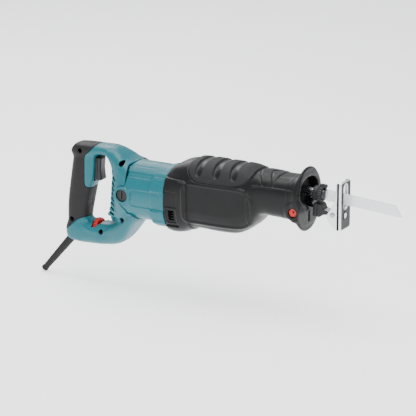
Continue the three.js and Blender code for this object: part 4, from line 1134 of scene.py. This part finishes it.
def make_bracket():
    def field(x, y, z):
        nx, ny, nz = in_nose(x, y, z)
        bar = block(nx, ny, nz, (-78, 26), (-6.5, 6.5), (-27, -22), 1.2)
        eye = drum(np.abs(ny), np.hypot(nx - 26, nz + 24), -13.9, 13.9, 5, 0.6)
        neck = block(nx, ny, nz, (17, 26), (-13.9, 13.9), (-27, -22), 1.2)
        return cut(join(join(bar, neck, 3), eye, 1.0), np.hypot(nx - 26, nz + 24) - 2.8, 0.4)

    bracket = sculpted("shoe_bracket_skin", field, (178, -14.2, 5), (291, 14.2, 26), 0.7)
    dress(bracket, "shoe_bracket", CHROME, "bright_steel", "shoe_bracket")


# ---------- stage, lights and camera ----------
def plain_material(name, colour):
    made = bpy.data.materials.new(name)
    made.use_nodes = True
    shader = made.node_tree.nodes["Principled BSDF"]
    shader.inputs["Base Color"].default_value = (*colour, 1)
    shader.inputs["Roughness"].default_value = 0.9
    return made


def make_stage():
    mesh = bpy.data.meshes.new("floor")
    size = 14.0
    mesh.from_pydata([(-size, -size, 0), (size, -size, 0), (size, size, 0), (-size, size, 0)], [], [(0, 1, 2, 3)])
    floor = bpy.data.objects.new("floor", mesh)
    floor.location.z = cad_low.z - 0.0005
    bpy.context.scene.collection.objects.link(floor)
    paint = plain_material("floor_paint", (0.95, 0.95, 0.95))
    paint.node_tree.nodes["Principled BSDF"].inputs["Emission Color"].default_value = (1, 1, 1, 1)
    paint.node_tree.nodes["Principled BSDF"].inputs["Emission Strength"].default_value = 1.0
    floor.data.materials.append(paint)
    world = bpy.data.worlds.new("studio")
    world.use_nodes = True
    background = world.node_tree.nodes["Background"]
    background.inputs["Color"].default_value = (0.95, 0.97, 1.0, 1)
    background.inputs["Strength"].default_value = 0.85
    bpy.context.scene.world = world


def area_light(name, at, aim, size, power):
    data = bpy.data.lights.new(name, "AREA")
    data.shape = "RECTANGLE"
    data.size, data.size_y = size
    data.energy = power
    light = bpy.data.objects.new(name, data)
    light.location = at
    light.rotation_mode = "QUATERNION"
    light.rotation_quaternion = (Vector(aim) - Vector(at)).to_track_quat("-Z", "Y")
    bpy.context.scene.collection.objects.link(light)


def make_lights():
    middle = (cad_low + cad_high) / 2
    area_light("top_softbox", (middle.x - 0.1, middle.y - 0.1, 1.6), middle, (1.6, 0.9), 27)
    area_light("front_softbox", (middle.x + 1.1, middle.y - 1.5, 1.1), middle, (1.0, 1.0), 17)
    area_light("rear_softbox", (middle.x - 1.3, middle.y + 1.2, 1.3), middle, (1.0, 1.0), 14)


CAMERA_TURN, CAMERA_RISE = math.radians(29), math.radians(17)
CAMERA_DISTANCE = 4.5
CAMERA_LENS, SENSOR = 243.35, 36.0
AIM = np.array([45.1, 17.7, -20.9])  # from the datum


def make_camera():
    data = bpy.data.cameras.new("camera")
    data.lens = CAMERA_LENS
    data.sensor_width = SENSOR
    data.clip_end = 100
    camera = bpy.data.objects.new("camera", data)
    back = Vector((
        math.sin(CAMERA_TURN) * math.cos(CAMERA_RISE), -math.cos(CAMERA_TURN) * math.cos(CAMERA_RISE),
        math.sin(CAMERA_RISE),
    ))
    camera.location = Vector(AIM * MM + DATUM) + back * CAMERA_DISTANCE
    camera.rotation_mode = "QUATERNION"
    camera.rotation_quaternion = (-back).to_track_quat("-Z", "Y")
    bpy.context.scene.collection.objects.link(camera)
    bpy.context.scene.camera = camera


paint_cad_nodes()
make_boot()
make_motor()
make_handle()
make_small_pieces()
make_cord_guard()
make_clamp()
make_blade()
make_pin()
make_bracket()
make_stage()
make_lights()
make_camera()
